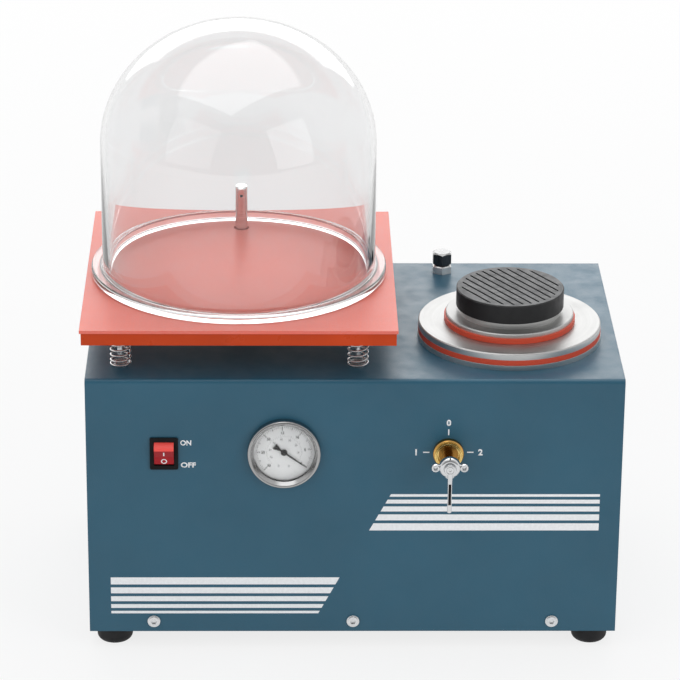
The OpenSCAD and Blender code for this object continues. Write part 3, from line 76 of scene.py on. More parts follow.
# ---- node trees ----------------------------------------------------------------------------
class Graph:
    """A material's node tree, with short calls for the nodes used here."""

    def __init__(self, name):
        self.mat = bpy.data.materials.new(name)
        self.mat.use_nodes = True
        self.tree = self.mat.node_tree
        self.tree.nodes.clear()
        self.out = self.tree.nodes.new("ShaderNodeOutputMaterial")
        self.place = self.tree.nodes.new("ShaderNodeTexCoord").outputs["Object"]

    def node(self, kind, inputs=None, **settings):
        n = self.tree.nodes.new("ShaderNode" + kind)
        for key, value in settings.items():
            setattr(n, key, value)
        for key, value in (inputs or {}).items():
            self.set(n.inputs[key], value)
        return n

    def set(self, socket, value):
        if isinstance(value, bpy.types.NodeSocket):
            self.tree.links.new(value, socket)
        elif isinstance(value, tuple) and len(value) == 3 and socket.type == "RGBA":
            socket.default_value = (*value, 1)
        else:
            socket.default_value = value

    def math(self, operation, a, b=0.0):
        return self.node("Math", {0: a, 1: b}, operation=operation).outputs[0]

    def length(self, x, y):
        square = self.math("ADD", self.math("MULTIPLY", x, x), self.math("MULTIPLY", y, y))
        return self.math("SQRT", square)

    def mix(self, share, a, b):
        return self.node("Mix", {0: share, 6: a, 7: b}, data_type="RGBA").outputs[2]

    def span(self, value, low, high, to_low=0.0, to_high=1.0):
        n = self.node("MapRange", {0: value, 1: low, 2: high, 3: to_low, 4: to_high})
        return n.outputs[0]

    def moved(self, scale=(1, 1, 1), offset=(0, 0, 0)):
        return self.node("Mapping", {0: self.place, 1: offset, 3: scale}).outputs[0]

    def noise(self, scale, detail=3.0, rough=0.5, place=None):
        n = self.node("TexNoise", {"Vector": place or self.place, "Scale": scale, "Detail": detail,
                                   "Roughness": rough})
        return n.outputs["Fac"]

    def cells(self, scale):
        return self.node("TexVoronoi", {"Vector": self.place, "Scale": scale}).outputs["Distance"]

    def axes(self, place=None):
        return self.node("SeparateXYZ", {0: place or self.place}).outputs

    def joined(self, x, y, z):
        return self.node("CombineXYZ", {0: x, 1: y, 2: z}).outputs[0]

    def bump(self, height, strength=0.3, distance=0.0002, normal=None):
        inputs = {"Height": height, "Strength": strength, "Distance": distance}
        if normal is not None:
            inputs["Normal"] = normal
        return self.node("Bump", inputs).outputs[0]

    def rounded(self, radius):
        return self.node("Bevel", {"Radius": radius}, samples=6).outputs[0]

    def facing_up(self):
        return self.axes(self.node("NewGeometry").outputs["Normal"])[2]

    def edge(self, radius=0.0008):
        """High along convex edges, low on flats."""
        soft = self.node("Bevel", {"Radius": radius}, samples=6).outputs[0]
        flat = self.node("NewGeometry").outputs["Normal"]
        dot = self.node("VectorMath", {0: soft, 1: flat}, operation="DOT_PRODUCT").outputs["Value"]
        return self.span(dot, 0.995, 0.85)

    def finish(self, color, roughness, normal=None, **inputs):
        fixed = {key.replace("_", " "): value for key, value in inputs.items()}
        n = self.node("BsdfPrincipled", {"Base Color": color, "Roughness": roughness, **fixed})
        if normal is not None:
            self.tree.links.new(normal, n.inputs["Normal"])
        self.tree.links.new(n.outputs[0], self.out.inputs[0])
        self.mat.diffuse_color = (*color, 1) if isinstance(color, tuple) else (0.5, 0.5, 0.5, 1)
        return self.mat


def linear(code):
    """A hex colour as linear RGB."""
    parts = [int(code[i:i + 2], 16) / 255 for i in (1, 3, 5)]
    return tuple(p / 12.92 if p <= 0.04045 else ((p + 0.055) / 1.055) ** 2.4 for p in parts)


def shade(color, factor):
    return tuple(min(1.0, c * factor) for c in color)


def powder_coat(name, code, grain=1.0, rough=0.36, dust=0.05):
    """Textured powder coat: fine pebbles, slow drifts of tone, rubbed edges and a little dust."""
    g = Graph(name)
    base = linear(code)
    drift = g.noise(9, 2)
    speck = g.noise(2600, 2, 0.6)
    pebble = g.cells(1150)
    color = g.mix(g.span(drift, 0.3, 0.7), shade(base, 0.93), shade(base, 1.07))
    color = g.mix(g.span(speck, 0.55, 0.8, 0, 0.35), color, shade(base, 1.5))
    color = g.mix(g.span(pebble, 0.0, 0.35, 0.25, 0), color, shade(base, 0.7))
    rubbed = g.math("MULTIPLY", g.edge(0.0012), g.span(g.noise(160, 3), 0.45, 0.7))
    color = g.mix(g.math("MULTIPLY", rubbed, 0.35), color, shade(base, 2.2))
    settled = g.math("MULTIPLY", g.span(g.facing_up(), 0.6, 1), g.span(g.noise(24, 4), 0.4, 0.75, 0, dust))
    color = g.mix(settled, color, (0.45, 0.44, 0.42))
    roughness = g.span(g.noise(60, 3), 0.3, 0.7, rough - 0.06, rough + 0.08)
    normal = g.bump(pebble, 0.3 * grain, 0.0002, g.rounded(0.0014))
    normal = g.bump(speck, 0.15 * grain, 0.0001, normal)
    return g.finish(color, roughness, normal, Specular_IOR_Level=0.5)


def gloss_paint(name, code, rough=0.22, level=0.5):
    g = Graph(name)
    base = linear(code)
    color = g.mix(g.span(g.noise(14, 2), 0.3, 0.7), shade(base, 0.9), shade(base, 1.08))
    worn = g.math("MULTIPLY", g.edge(0.0008), g.span(g.noise(300, 3), 0.5, 0.75))
    color = g.mix(g.math("MULTIPLY", worn, 0.4), color, shade(base, 1.6))
    roughness = g.span(g.noise(45, 4), 0.3, 0.7, rough - 0.05, rough + 0.1)
    normal = g.bump(g.noise(260, 2), 0.08, 0.0002, g.rounded(0.0006))
    return g.finish(color, roughness, normal, Specular_IOR_Level=level)


def turned_metal(name, centre, tint=(0.42, 0.42, 0.415), rough=0.38, pitch=1800.0, side_sheen=1.6):
    """Metal faced on a lathe: fine rings about an upright axis through centre, and a painted reflection on
    the sides.
    """
    g = Graph(name)
    x, y, z = g.axes(g.moved(offset=(-centre[0], -centre[1], 0)))
    radius = g.length(x, y)
    around = g.math("ARCTAN2", y, x)
    lines = g.noise(1, 3, 0.6, g.joined(g.math("MULTIPLY", radius, pitch), g.math("MULTIPLY", around, 1.2),
                                        g.math("MULTIPLY", z, pitch)))
    broad = g.noise(1, 2, 0.5, g.joined(g.math("MULTIPLY", radius, pitch / 9), around,
                                        g.math("MULTIPLY", z, pitch / 6)))
    smudge = g.noise(38, 4)
    color = g.mix(g.span(lines, 0.3, 0.7), shade(tint, 0.86), shade(tint, 1.1))
    color = g.mix(g.span(broad, 0.35, 0.65, 0, 0.25), color, shade(tint, 0.75))
    # Painted reflection: faces that do not look up are painted brighter than the top faces.
    color = g.mix(g.span(g.facing_up(), 0.3, 0.8), shade(tint, side_sheen), color)
    roughness = g.math("ADD", g.span(lines, 0.3, 0.7, rough - 0.06, rough + 0.1),
                       g.span(smudge, 0.5, 0.8, 0, 0.08))
    normal = g.bump(lines, 0.12, 0.00006, g.rounded(0.0004))
    return g.finish(color, roughness, normal, Metallic=1.0)


def drawn_metal(name, tint, rough, along=(40, 40, 1600), bump=0.08, edge_highlight=0.3, patina=None, depth=0.6):
    """Metal with a fine directional grain and a painted highlight on its edges; patina darkens slow
    patches.
    """
    g = Graph(name)
    grain = g.noise(1, 3, 0.6, g.moved(along))
    color = g.mix(g.span(grain, 0.3, 0.7), shade(tint, 0.88), shade(tint, 1.08))
    if patina:
        color = g.mix(g.span(g.noise(85, 5, 0.6), 0.48, 0.75, 0, depth), color, patina)
    # Painted highlight: convex edges are painted lighter.
    color = g.mix(g.math("MULTIPLY", g.edge(0.0004), edge_highlight), color, shade(tint, 1.3))
    roughness = g.math("ADD", g.span(grain, 0.3, 0.7, rough - 0.04, rough + 0.08),
                       g.span(g.noise(70, 4), 0.55, 0.8, 0, 0.1))
    normal = g.bump(grain, bump, 0.00005, g.rounded(0.0003))
    return g.finish(color, roughness, normal, Metallic=1.0)


def chrome_plate(name, tint=(0.76, 0.77, 0.78), rough=0.07):
    g = Graph(name)
    scratch = g.noise(1, 2, 0.5, g.moved((900, 900, 60)))
    haze = g.noise(55, 4)
    color = g.mix(g.span(haze, 0.4, 0.8, 0, 0.3), tint, shade(tint, 0.85))
    roughness = g.math("ADD", g.span(haze, 0.4, 0.8, rough, rough + 0.08),
                       g.span(scratch, 0.66, 0.75, 0, 0.12))
    normal = g.bump(scratch, 0.02, 0.00002, g.rounded(0.0004))
    return g.finish(color, roughness, normal, Metallic=1.0)


def moulded(name, base, rough=0.45, grain=1500.0, bump=0.12, level=0.3, **extra):
    """Moulded plastic or rubber: fine spark grain, uneven gloss and handled edges."""
    g = Graph(name)
    fine = g.noise(grain, 2, 0.6)
    color = g.mix(g.span(g.noise(70, 3), 0.35, 0.7), shade(base, 0.85), shade(base, 1.2))
    color = g.mix(g.math("MULTIPLY", g.edge(0.0006), 0.4), color, shade(base, 2.0))
    roughness = g.span(g.noise(110, 3), 0.3, 0.7, rough - 0.07, rough + 0.1)
    normal = g.bump(fine, bump, 0.00008, g.rounded(0.0005))
    return g.finish(color, roughness, normal, Specular_IOR_Level=level, **extra)


def silicone(name, code, rough=0.5, chalk=0.12):
    """Silicone sheet: the faint cross grain of its mould, with a little talc left in it."""
    g = Graph(name)
    base = linear(code)
    grain = g.noise(900, 4, 0.7)
    weft = g.noise(1, 2, 0.5, g.moved((22, 1300, 1300)))
    warp = g.noise(1, 2, 0.5, g.moved((1300, 22, 1300)))
    cross = g.math("MULTIPLY", g.math("ADD", weft, warp), 0.5)
    color = g.mix(g.span(g.noise(7, 2), 0.3, 0.7), shade(base, 0.96), shade(base, 1.04))
    color = g.mix(g.span(cross, 0.38, 0.62, 0, 0.55), color, shade(base, 1.12))
    talc = g.math("MULTIPLY", g.span(grain, 0.45, 0.75), g.span(g.noise(11, 3), 0.3, 0.8))
    color = g.mix(g.math("MULTIPLY", talc, chalk), color, (0.85, 0.78, 0.74))
    roughness = g.span(cross, 0.35, 0.65, rough - 0.05, rough + 0.08)
    normal = g.bump(cross, 0.1, 0.00012, g.bump(grain, 0.1, 0.0001, g.rounded(0.0008)))
    return g.finish(color, roughness, normal, Subsurface_Weight=0.05, Specular_IOR_Level=0.4)


def clear(name, tint=(0.915, 0.917, 0.92), rough=0.01, ior=1.49, wave=0.015, alpha=1.0):
    """Clear glass or acrylic with a faint unevenness."""
    g = Graph(name)
    smear = g.noise(26, 4)
    roughness = g.span(smear, 0.5, 0.8, rough, rough + 0.015)
    normal = g.bump(g.noise(14, 2), wave, 0.001)
    return g.finish(tint, roughness, normal, Transmission_Weight=1.0, IOR=ior, Alpha=alpha)


def print_ink(name, base, rough=0.5):
    """Screen-printed ink, with a slightly uneven film."""
    g = Graph(name)
    color = g.mix(g.span(g.noise(400, 3), 0.35, 0.7), shade(base, 0.94), shade(base, 1.02))
    roughness = g.span(g.noise(220, 3), 0.3, 0.7, rough - 0.08, rough + 0.08)
    return g.finish(color, roughness, g.bump(g.noise(1800, 2), 0.05, 0.00005))


def middle(name):
    """The middle of a node's box."""
    low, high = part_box(name)
    return [(a + b) / 2 for a, b in zip(low, high)]


CHAMBER = middle("casting_flask")
SPINDLE = middle("valve_nut")
BASE_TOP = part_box("sprue_base")[1][2]
BRASS = (0.72, 0.5, 0.2)

mats = {
    "cover": powder_coat("cover_paint", "#24576d"),
    "tray": gloss_paint("tray_paint", "#2c2f31", 0.4),
    "table": gloss_paint("table_paint", "#c4400d", 0.3, 0.25),
    "mat": silicone("mat_silicone", "#e86e5e", 0.36, 0.2),
    "gasket": silicone("red_silicone", "#cf4a30", 0.45, 0.08),
    "rings": turned_metal("turned_steel", CHAMBER),
    "flask": turned_metal("flask_steel", CHAMBER, (0.4, 0.4, 0.395), 0.4, 1400.0),
    "tube": drawn_metal("drawn_tube", (0.78, 0.78, 0.775), 0.16, (60, 60, 1500)),
    "screw": drawn_metal("zinc_plate", (0.72, 0.73, 0.74), 0.26, (900, 900, 900), 0.05, 0.5,
                         (0.4, 0.4, 0.4), 0.3),
    "spring": drawn_metal("spring_wire", (0.85, 0.85, 0.85), 0.18, (700, 700, 2500), 0.05),
    # The bezel is chrome darkened to a 0.4 tint: a painted shade.
    "bezel": chrome_plate("bezel_chrome_shaded", (0.4, 0.4, 0.4), 0.18),
    "chrome": chrome_plate("chrome", (0.68, 0.69, 0.7), 0.08),
    "brass": drawn_metal("brass", BRASS, 0.22, (500, 500, 500), 0.05, 0.4, (0.42, 0.25, 0.08), 0.3),
    "black": moulded("black_plastic", (0.008, 0.008, 0.009), level=0.12),
    "rubber": moulded("black_rubber", (0.014, 0.014, 0.015), 0.6, 1100.0, 0.2),
    "nickel": moulded("nickel_plate", (0.72, 0.72, 0.71), 0.2, 900.0, 0.03, 0.8, Metallic=0.5),
    "case": gloss_paint("case_paint", "#1c1d1e", 0.35),
    "dial": gloss_paint("dial_enamel", "#f6f7f8", 0.3),
    "needle": gloss_paint("needle_paint", "#101011", 0.4),
    "lens": clear("lens_glass", (0.99, 0.995, 0.99), 0.0, 1.5, 0.0, 0.35),
    "jar": clear("jar_acrylic"),
    "iron": gloss_paint("iron_paint", "#4a4e51", 0.5),
    "motor": gloss_paint("motor_paint", "#2a3036", 0.4),
    "resin": moulded("vane_resin", (0.3, 0.2, 0.09), 0.5),
    "can": drawn_metal("aluminium_can", (0.7, 0.7, 0.71), 0.3),
    "white": print_ink("white_ink", (0.93, 0.94, 0.955)),
    "ink": print_ink("black_ink", (0.015, 0.015, 0.016)),
}


def base_rubber():
    """The sprue base: black sides, and a grey top between the grooves that is a painted sheen."""
    g = Graph("base_rubber")
    # Painted sheen: the faces that look up at the top, between the grooves, are painted grey.
    top = g.math("MULTIPLY", g.span(g.facing_up(), 0.7, 0.95),
                 g.span(g.axes()[2], BASE_TOP - 0.0008, BASE_TOP - 0.0002))
    sheen_mottle = g.noise(60, 4)
    grey = g.mix(g.span(sheen_mottle, 0.3, 0.7), (0.03, 0.031, 0.033), (0.085, 0.087, 0.09))
    color = g.mix(top, (0.011, 0.011, 0.012), grey)
    color = g.mix(g.math("MULTIPLY", g.edge(0.0007), 0.35), color, (0.12, 0.12, 0.12))
    roughness = g.span(g.noise(140, 3), 0.3, 0.7, 0.38, 0.55)
    return g.finish(color, roughness, g.bump(g.noise(1300, 2), 0.12, 0.00008, g.rounded(0.0005)),
                    Specular_IOR_Level=0.36)


mats["base"] = base_rubber()


def valve_brass():
    """Brass turned about the valve's spindle: painted shade on the outer ring and in the middle, painted
    highlights on the ribbed face.
    """
    g = Graph("turned_brass")
    x, z = (g.axes(g.moved(offset=(-SPINDLE[0], 0, -SPINDLE[2])))[i] for i in (0, 2))
    radius = g.length(x, z)
    rib = g.math("SINE", g.math("MULTIPLY", radius, 4200.0))
    # Painted highlights: the face's ribs alternate between bright and dull brass.
    face = g.mix(g.span(rib, -0.4, 0.6), (0.6, 0.38, 0.11), (0.95, 0.7, 0.27))
    # Painted shade in the middle, inside the ribbed face.
    color = g.mix(g.span(radius, 0.0088, 0.0093), (0.34, 0.17, 0.04), face)
    # Painted shade on the outer ring.
    color = g.mix(g.span(radius, 0.0134, 0.0138), color, (0.56, 0.28, 0.07))
    roughness = g.span(g.noise(90, 3), 0.3, 0.7, 0.18, 0.28)
    return g.finish(color, roughness, g.bump(rib, 0.15, 0.0001, g.rounded(0.0003)), Metallic=1.0)


mats["turned_brass"] = valve_brass()


def rocker_red():
    """Glossy red plastic, with a painted highlight on the half that tilts up."""
    g = Graph("red_plastic")
    # Painted highlight: faces that tilt up are painted a bright red.
    lit = g.span(g.facing_up(), -0.25, 0.0)
    color = g.mix(g.span(g.noise(70, 3), 0.35, 0.7), (0.36, 0.007, 0.013), (0.42, 0.009, 0.016))
    color = g.mix(lit, color, (0.92, 0.1, 0.085))
    return g.finish(color, g.span(g.noise(110, 3), 0.3, 0.7, 0.18, 0.26), g.rounded(0.0004),
                    Specular_IOR_Level=0.2)


mats["red"] = rocker_red()


def cap_metal():
    """The filler cap: face and chamfers painted bright and flats painted dark as a painted reflection, both
    lightly scratched.
    """
    g = Graph("cap_metal")
    scratch = g.noise(1, 2, 0.5, g.moved((700, 700, 90)))
    # Painted reflection: faces that look up get the bright colour, the upright flats the dark one.
    top = g.span(g.facing_up(), 0.12, 0.3)
    dark = g.mix(g.span(scratch, 0.3, 0.7), (0.05, 0.053, 0.058), (0.09, 0.094, 0.1))
    bright = g.mix(g.span(scratch, 0.3, 0.7), (0.27, 0.27, 0.27), (0.34, 0.34, 0.34))
    # Convex edges get a painted highlight.
    color = g.mix(g.math("MULTIPLY", g.edge(0.0005), 0.4), g.mix(top, dark, bright), (0.36, 0.36, 0.36))
    roughness = g.span(g.noise(90, 3), 0.3, 0.7, 0.16, 0.28)
    return g.finish(color, roughness, g.bump(scratch, 0.05, 0.00005, g.rounded(0.0004)), Metallic=0.6)


mats["cap"] = cap_metal()

LOOKS = {
    "cover": "hood rear_panel", "tray": "base_tray", "table": "table_plate", "mat": "table_mat",
    "gasket": "chamber_gasket flask_gasket", "rings": "adapter_plate chamber_pot", "flask": "casting_flask",
    "tube": "air_tube", "screw": "cover_screws rear_screws foot_screws table_pegs spring_seats gauge_clamp",
    "bezel": "gauge_bezel", "chrome": "handle_cap handle_lever handle_screw motor_shaft",
    "nickel": "filler_neck", "brass": "chamber_elbow gauge_movement switch_terminals inlet_pins",
    "turned_brass": "valve_body valve_nut valve_plug",
    "cap": "filler_cap", "black": "switch_housing power_inlet cooling_fan lever_inlay",
    "rubber": "rubber_feet cap_seal tube_grommet pump_mounts table_hose chamber_hose pump_hose gauge_hose "
              "wiring_loom",
    "red": "switch_rocker", "case": "gauge_case", "dial": "gauge_dial", "needle": "gauge_needle",
    "lens": "gauge_lens", "jar": "bell_jar", "motor": "motor_body", "iron": "pump_body pump_rotor",
    "resin": "rotor_vanes", "can": "run_capacitor", "base": "sprue_base",
    "spring": "spring_front_left spring_front_right spring_rear_left spring_rear_right",
}
for look, names in LOOKS.items():
    for name in names.split():
        node = NODES[name]
        node.data.materials.clear()
        node.data.materials.append(mats[look])


# ---- pieces ----------------------------------------------------------------------------------
def piece(name, bm, look, body, replaces=(), smooth=True):
    mesh = bpy.data.meshes.new(name)
    bmesh.ops.recalc_face_normals(bm, faces=bm.faces)
    bm.to_mesh(mesh)
    bm.free()
    mesh.materials.append(mats[look])
    if smooth:
        mesh.shade_smooth()
        mesh.set_sharp_from_angle(angle=math.radians(32))
    obj = bpy.data.objects.new(name, mesh)
    bpy.context.scene.collection.objects.link(obj)
    if body:
        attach(obj, body)
    if replaces:
        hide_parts(*replaces)
    return obj


def sweep(bm, path, radius, sides):
    """A round bar along a path of points, flat at both ends."""
    tangents = []
    for i, p in enumerate(path):
        ahead = path[min(i + 1, len(path) - 1)] - p
        behind = p - path[max(i - 1, 0)]
        tangents.append((ahead.normalized() + behind.normalized()).normalized())
    across = Vector((1, 0, 0)) if abs(tangents[0].z) > 0.9 else Vector((0, 0, 1))
    rings = []
    for p, t in zip(path, tangents):
        across = (across - across.dot(t) * t).normalized()
        other = t.cross(across)
        rings.append([bm.verts.new(p + radius * (math.cos(a) * across + math.sin(a) * other))
                      for a in (2 * math.pi * k / sides for k in range(sides))])
    for low, high in zip(rings, rings[1:]):
        for k in range(sides):
            bm.faces.new((low[k], low[(k + 1) % sides], high[(k + 1) % sides], high[k]))
    bm.faces.new(rings[0][::-1])
    bm.faces.new(rings[-1])


WIRE = 0.0018
COIL_RADIUS = 0.0091
SPRING_TURNS = 7.5


def spring_path(centre, low, high):
    """The middle of a coil's wire: a closed turn at each end and open turns between."""
    steps = round(SPRING_TURNS * 48)
    closed = WIRE + 0.0003
    length = high - low - WIRE - 0.0001
    pitch = (length - 2 * closed) / (SPRING_TURNS - 2)
    points = []
    for i in range(steps + 1):
        t = SPRING_TURNS * i / steps
        if t < 1:
            rise = t * closed
        elif t < SPRING_TURNS - 1:
            rise = closed + (t - 1) * pitch
        else:
            rise = length - (SPRING_TURNS - t) * closed
        a = 2 * math.pi * t
        points.append(Vector((centre[0] + COIL_RADIUS * math.cos(a),
                              centre[1] + COIL_RADIUS * math.sin(a), low + WIRE / 2 + rise)))
    return points


def add_springs():
    for name in LOOKS["spring"].split():
        low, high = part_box(name)
        # The box of an odd half turn is as wide on both sides, so its middle is the axis.
        centre = middle(name)[:2]
        bm = bmesh.new()
        sweep(bm, spring_path(centre, low[2], high[2]), WIRE / 2 - 0.00002, 20)
        obj = piece(name + "_wire", bm, "spring", None, (name,))
        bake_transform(obj)


add_springs()


def cubic(a, b, c, d, count):
    points = []
    for i in range(count + 1):
        t = i / count
        s = 1 - t
        points.append(s ** 3 * a + 3 * s * s * t * b + 3 * s * t * t * c + t ** 3 * d)
    return points


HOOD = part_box("hood")
CX = (HOOD[0][0] + HOOD[1][0]) / 2
FRONT, REAR, BOTTOM, TOP = HOOD[0][1], HOOD[1][1], HOOD[0][2], HOOD[1][2]
VALVE = Vector((CX + 0.0872, FRONT, BOTTOM + 0.187))
GAUGE = Vector((CX - 0.0658, FRONT, BOTTOM + 0.187))
SWITCH = Vector((CX - 0.1775, FRONT, BOTTOM + 0.186))


HOSE_RADIUS, LOOM_RADIUS = 0.00598, 0.00295
# The straight length at each end of a hose.
STUB = 0.019


def add_hoses():
    """Smooth hoses on the routes of the faceted ones."""
    x, y, z = Vector((1, 0, 0)), Vector((0, 1, 0)), Vector((0, 0, 1))
    tube = middle("air_tube")
    intake = Vector((0.0047, 0.01525, 0.117))
    # Each route: its ends and the way it leaves or arrives, and how far it swings, in millimetres.
    routes = {
        "table_hose": (VALVE - 0.017 * x + 0.026 * y, -x,
                       Vector((tube[0], tube[1], TOP - 0.0565)), z, 59.75),
        "chamber_hose": (VALVE + 0.017 * x + 0.026 * y, x,
                         Vector((CHAMBER[0], CHAMBER[1] - 0.018, TOP - 0.134)), y, 48.8),
        "pump_hose": (VALVE + 0.05 * y, y, intake, y, 36),
        "gauge_hose": (GAUGE + 0.044 * y, y, VALVE + 0.043 * y - 0.017 * z, z, 38),
    }
    for name, (a, leaving, d, arriving, slack) in routes.items():
        start, end = a + STUB * leaving, d - STUB * arriving
        path = [a, a + 0.01 * leaving] + cubic(start, start + slack / 1000 * leaving,
                                               end - slack / 1000 * arriving, end, 48)
        bm = bmesh.new()
        sweep(bm, path + [d - 0.01 * arriving, d], HOSE_RADIUS, 24)
        piece(name + "_smooth", bm, "rubber", "cabinet", (name,))
    a = Vector((CX - 0.18, REAR - 0.0225, BOTTOM + 0.062))
    m = Vector((a.x, REAR - 0.032, 0.155))
    d = Vector((SWITCH.x, FRONT + 0.0252, SWITCH.z + 0.007))
    path = cubic(a, a - 0.01 * y, m - 0.04 * z, m, 30)
    path += cubic(m, m + 0.06 * z, d + 0.08 * y + 0.02 * z, d, 40)[1:]
    bm = bmesh.new()
    sweep(bm, path, LOOM_RADIUS, 18)
    piece("wiring_bundle", bm, "rubber", "cabinet", ("wiring_loom",))


add_hoses()


def lathe(bm, profile, centre, segments=160):
    """A turned solid from a closed outline of (radius, height) points."""
    rings = []
    for r, z in profile:
        if r < 1e-7:
            rings.append([bm.verts.new((centre[0], centre[1], z))])
        else:
            rings.append([bm.verts.new((centre[0] + r * math.cos(a), centre[1] + r * math.sin(a), z))
                          for a in (2 * math.pi * k / segments for k in range(segments))])
    for low, high in zip(rings, rings[1:] + rings[:1]):
        for k in range(segments):
            j = (k + 1) % segments
            if len(low) == 1 and len(high) == 1:
                break
            if len(low) == 1:
                bm.faces.new((low[0], high[j], high[k]))
            elif len(high) == 1:
                bm.faces.new((low[k], low[j], high[0]))
            else:
                bm.faces.new((low[k], low[j], high[j], high[k]))


def add_jar():
    """The bell jar, with rounded lips on its foot and a smooth dome."""
    low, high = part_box("bell_jar")
    centre = middle("bell_jar")[:2]
    foot = (high[0] - low[0]) / 2 - 0.0001
    wall, thick, straight, dome, flange = 0.1304, 0.0048, 0.129, 0.1159, 0.0075
    heel, lip, fillet = 0.0018, 0.0022, 0.004
    base = low[2]
    outline = [(wall - thick, base + 0.0004)]
    for k in range(7):
        a = -math.pi / 2 + math.pi * k / 12
        outline.append((foot - heel + heel * math.cos(a), base + heel + heel * math.sin(a)))
    for k in range(7):
        a = math.pi / 2 * k / 6
        outline.append((foot - lip + lip * math.cos(a), base + flange - lip + lip * math.sin(a)))
    for k in range(9):
        a = -math.pi / 2 - math.pi / 2 * k / 8
        outline.append((wall + fillet + fillet * math.cos(a),
                        base + flange + fillet + fillet * math.sin(a)))
    steps = 48
    outline += [(wall * math.cos(math.pi / 2 * k / steps) if k < steps else 0.0,
                 base + straight + dome * math.sin(math.pi / 2 * k / steps)) for k in range(steps + 1)]
    outline += [((wall - thick) * math.cos(math.pi / 2 * k / steps) if k < steps else 0.0,
                 base + straight + (dome - thick) * math.sin(math.pi / 2 * k / steps))
                for k in range(steps, -1, -1)]
    bm = bmesh.new()
    lathe(bm, outline, centre, 256)
    piece("bell_jar_clear", bm, "jar", "jar", ("bell_jar",))


add_jar()


def add_handle():
    """The chromed handle: domed cap with its point and two eyes, round lever and screw."""
    turn = Matrix.Translation(VALVE) @ Matrix.Rotation(math.pi / 2, 4, "X") @ Matrix.Scale(0.001, 4)
    bm = bmesh.new()

    def turned(profile, x=0.0, y=0.0, segments=96):
        part = bmesh.new()
        lathe(part, profile, (x, y), segments)
        scratch = bpy.data.meshes.new("turned")
        part.to_mesh(scratch)
        part.free()
        bm.from_mesh(scratch)
        bpy.data.meshes.remove(scratch)

    turned([(0, 31.1), (9.6, 31.1), (10.2, 31.7), (10.25, 33.8), (9.95, 35.2), (9.2, 36.4), (8.2, 37.2),
            (7.0, 37.7), (5.9, 37.6), (5.6, 37.1), (0, 37.1)])
    turned([(0, 37.0), (5.45, 37.0), (5.5, 39.6), (5.25, 40.4), (4.7, 40.85), (3.9, 40.9), (3.6, 40.5),
            (3.35, 40.45), (3.1, 40.75), (2.3, 40.9), (1.2, 40.85), (1.05, 40.1), (0, 40.1)])
    for side in (-1, 1):
        turned([(0, 32.1), (3.7, 32.1), (4.3, 32.8), (4.4, 34.4), (4.1, 35.8), (3.4, 36.6), (2.5, 36.7),
                (1.8, 36.2), (1.45, 35.2), (1.3, 34.0), (0, 34.0)], side * 13.25, 0.0, 48)
        bar(bm, [(side * 8.5, -1.6), (side * 10.5, -1.6), (side * 10.5, 1.6), (side * 8.5, 1.6)], 2.9,
            Matrix.Translation((0, 0, 33.0)))
    # The cap's point, which narrows into the lever.
    side = math.acos(10.2 / 13.0)
    edge = (9.9 * math.sin(side), -9.9 * math.cos(side))
    outline = [(0.0, 1.0), (-edge[0], edge[1]), (-1.6, -12.0), (0.0, -12.9), (1.6, -12.0), edge]
    layers = []
    for z, grow in ((31.3, 0.97), (32.0, 1.0), (34.6, 1.0), (35.8, 0.95), (36.4, 0.86)):
        layers.append([bm.verts.new(Vector((x * grow, y * (grow if y < 0 else 1), z)))
                       for x, y in outline])
    bm.faces.new(layers[0][::-1])
    bm.faces.new(layers[-1])
    for low, high in zip(layers, layers[1:]):
        for i in range(6):
            bm.faces.new((low[i], low[(i + 1) % 6], high[(i + 1) % 6], high[i]))
    # The lever: an oval bar from the hub to a round tip.
    rings = []
    steps = [(-3.0, 1.0), (-12.0, 1.0), (-20.0, 0.92), (-30.0, 0.9), (-37.0, 0.95), (-40.0, 1.0)]
    steps += [(-41.8 - 2.15 * math.sin(a), math.cos(a)) for a in (math.pi / 2 * k / 8 for k in range(8))]
    for y, grow in steps:
        ring_points = []
        for k in range(32):
            a = 2 * math.pi * k / 32
            c, n = math.cos(a), math.sin(a)
            x = 2.2 * grow * math.copysign(abs(c) ** 0.8, c)
            z = 39.5 + 1.45 * min(1.0, grow) * math.copysign(abs(n) ** 0.8, n)
            ring_points.append(bm.verts.new(Vector((x, y, z))))
        rings.append(ring_points)
    bm.faces.new(rings[0])
    bm.faces.new(rings[-1][::-1])
    for low, high in zip(rings, rings[1:]):
        for k in range(32):
            bm.faces.new((low[k], high[k], high[(k + 1) % 32], low[(k + 1) % 32]))
    bm.transform(turn)
    piece("handle_smooth", bm, "chrome", "valve_handle", ("handle_cap", "handle_lever", "handle_screw"))
    bm = bmesh.new()
    bar(bm, [(-0.75, 8.3), (0.75, 8.3), (0.55, 10.6), (-0.55, 10.6)], 1.6,
        turn @ Matrix.Translation((0, 0, 35.2)))
    piece("handle_pointer", bm, "ink", "valve_handle", smooth=False)


# ---- printing on the panel, the dial and the rocker -----------------------------------------
# How far the print stands off the panel and off the dial, in millimetres.
PRINT, DIAL_PRINT = 0.06, 0.04


def panel(x, z, out=0.0):
    """A point on the front panel, from its middle and its lower edge, in millimetres."""
    return Vector((CX + x / 1000, FRONT - out / 1000, BOTTOM + z / 1000))


def slab(bm, corners, back, front):
    """A thin film with the given outline (x, z in mm), between two distances from the panel."""
    near = [bm.verts.new(panel(x, z, front)) for x, z in corners]
    far = [bm.verts.new(panel(x, z, back)) for x, z in corners]
    bm.faces.new(near)
    bm.faces.new(far[::-1])
    for i in range(len(corners)):
        j = (i + 1) % len(corners)
        bm.faces.new((near[i], near[j], far[j], far[i]))


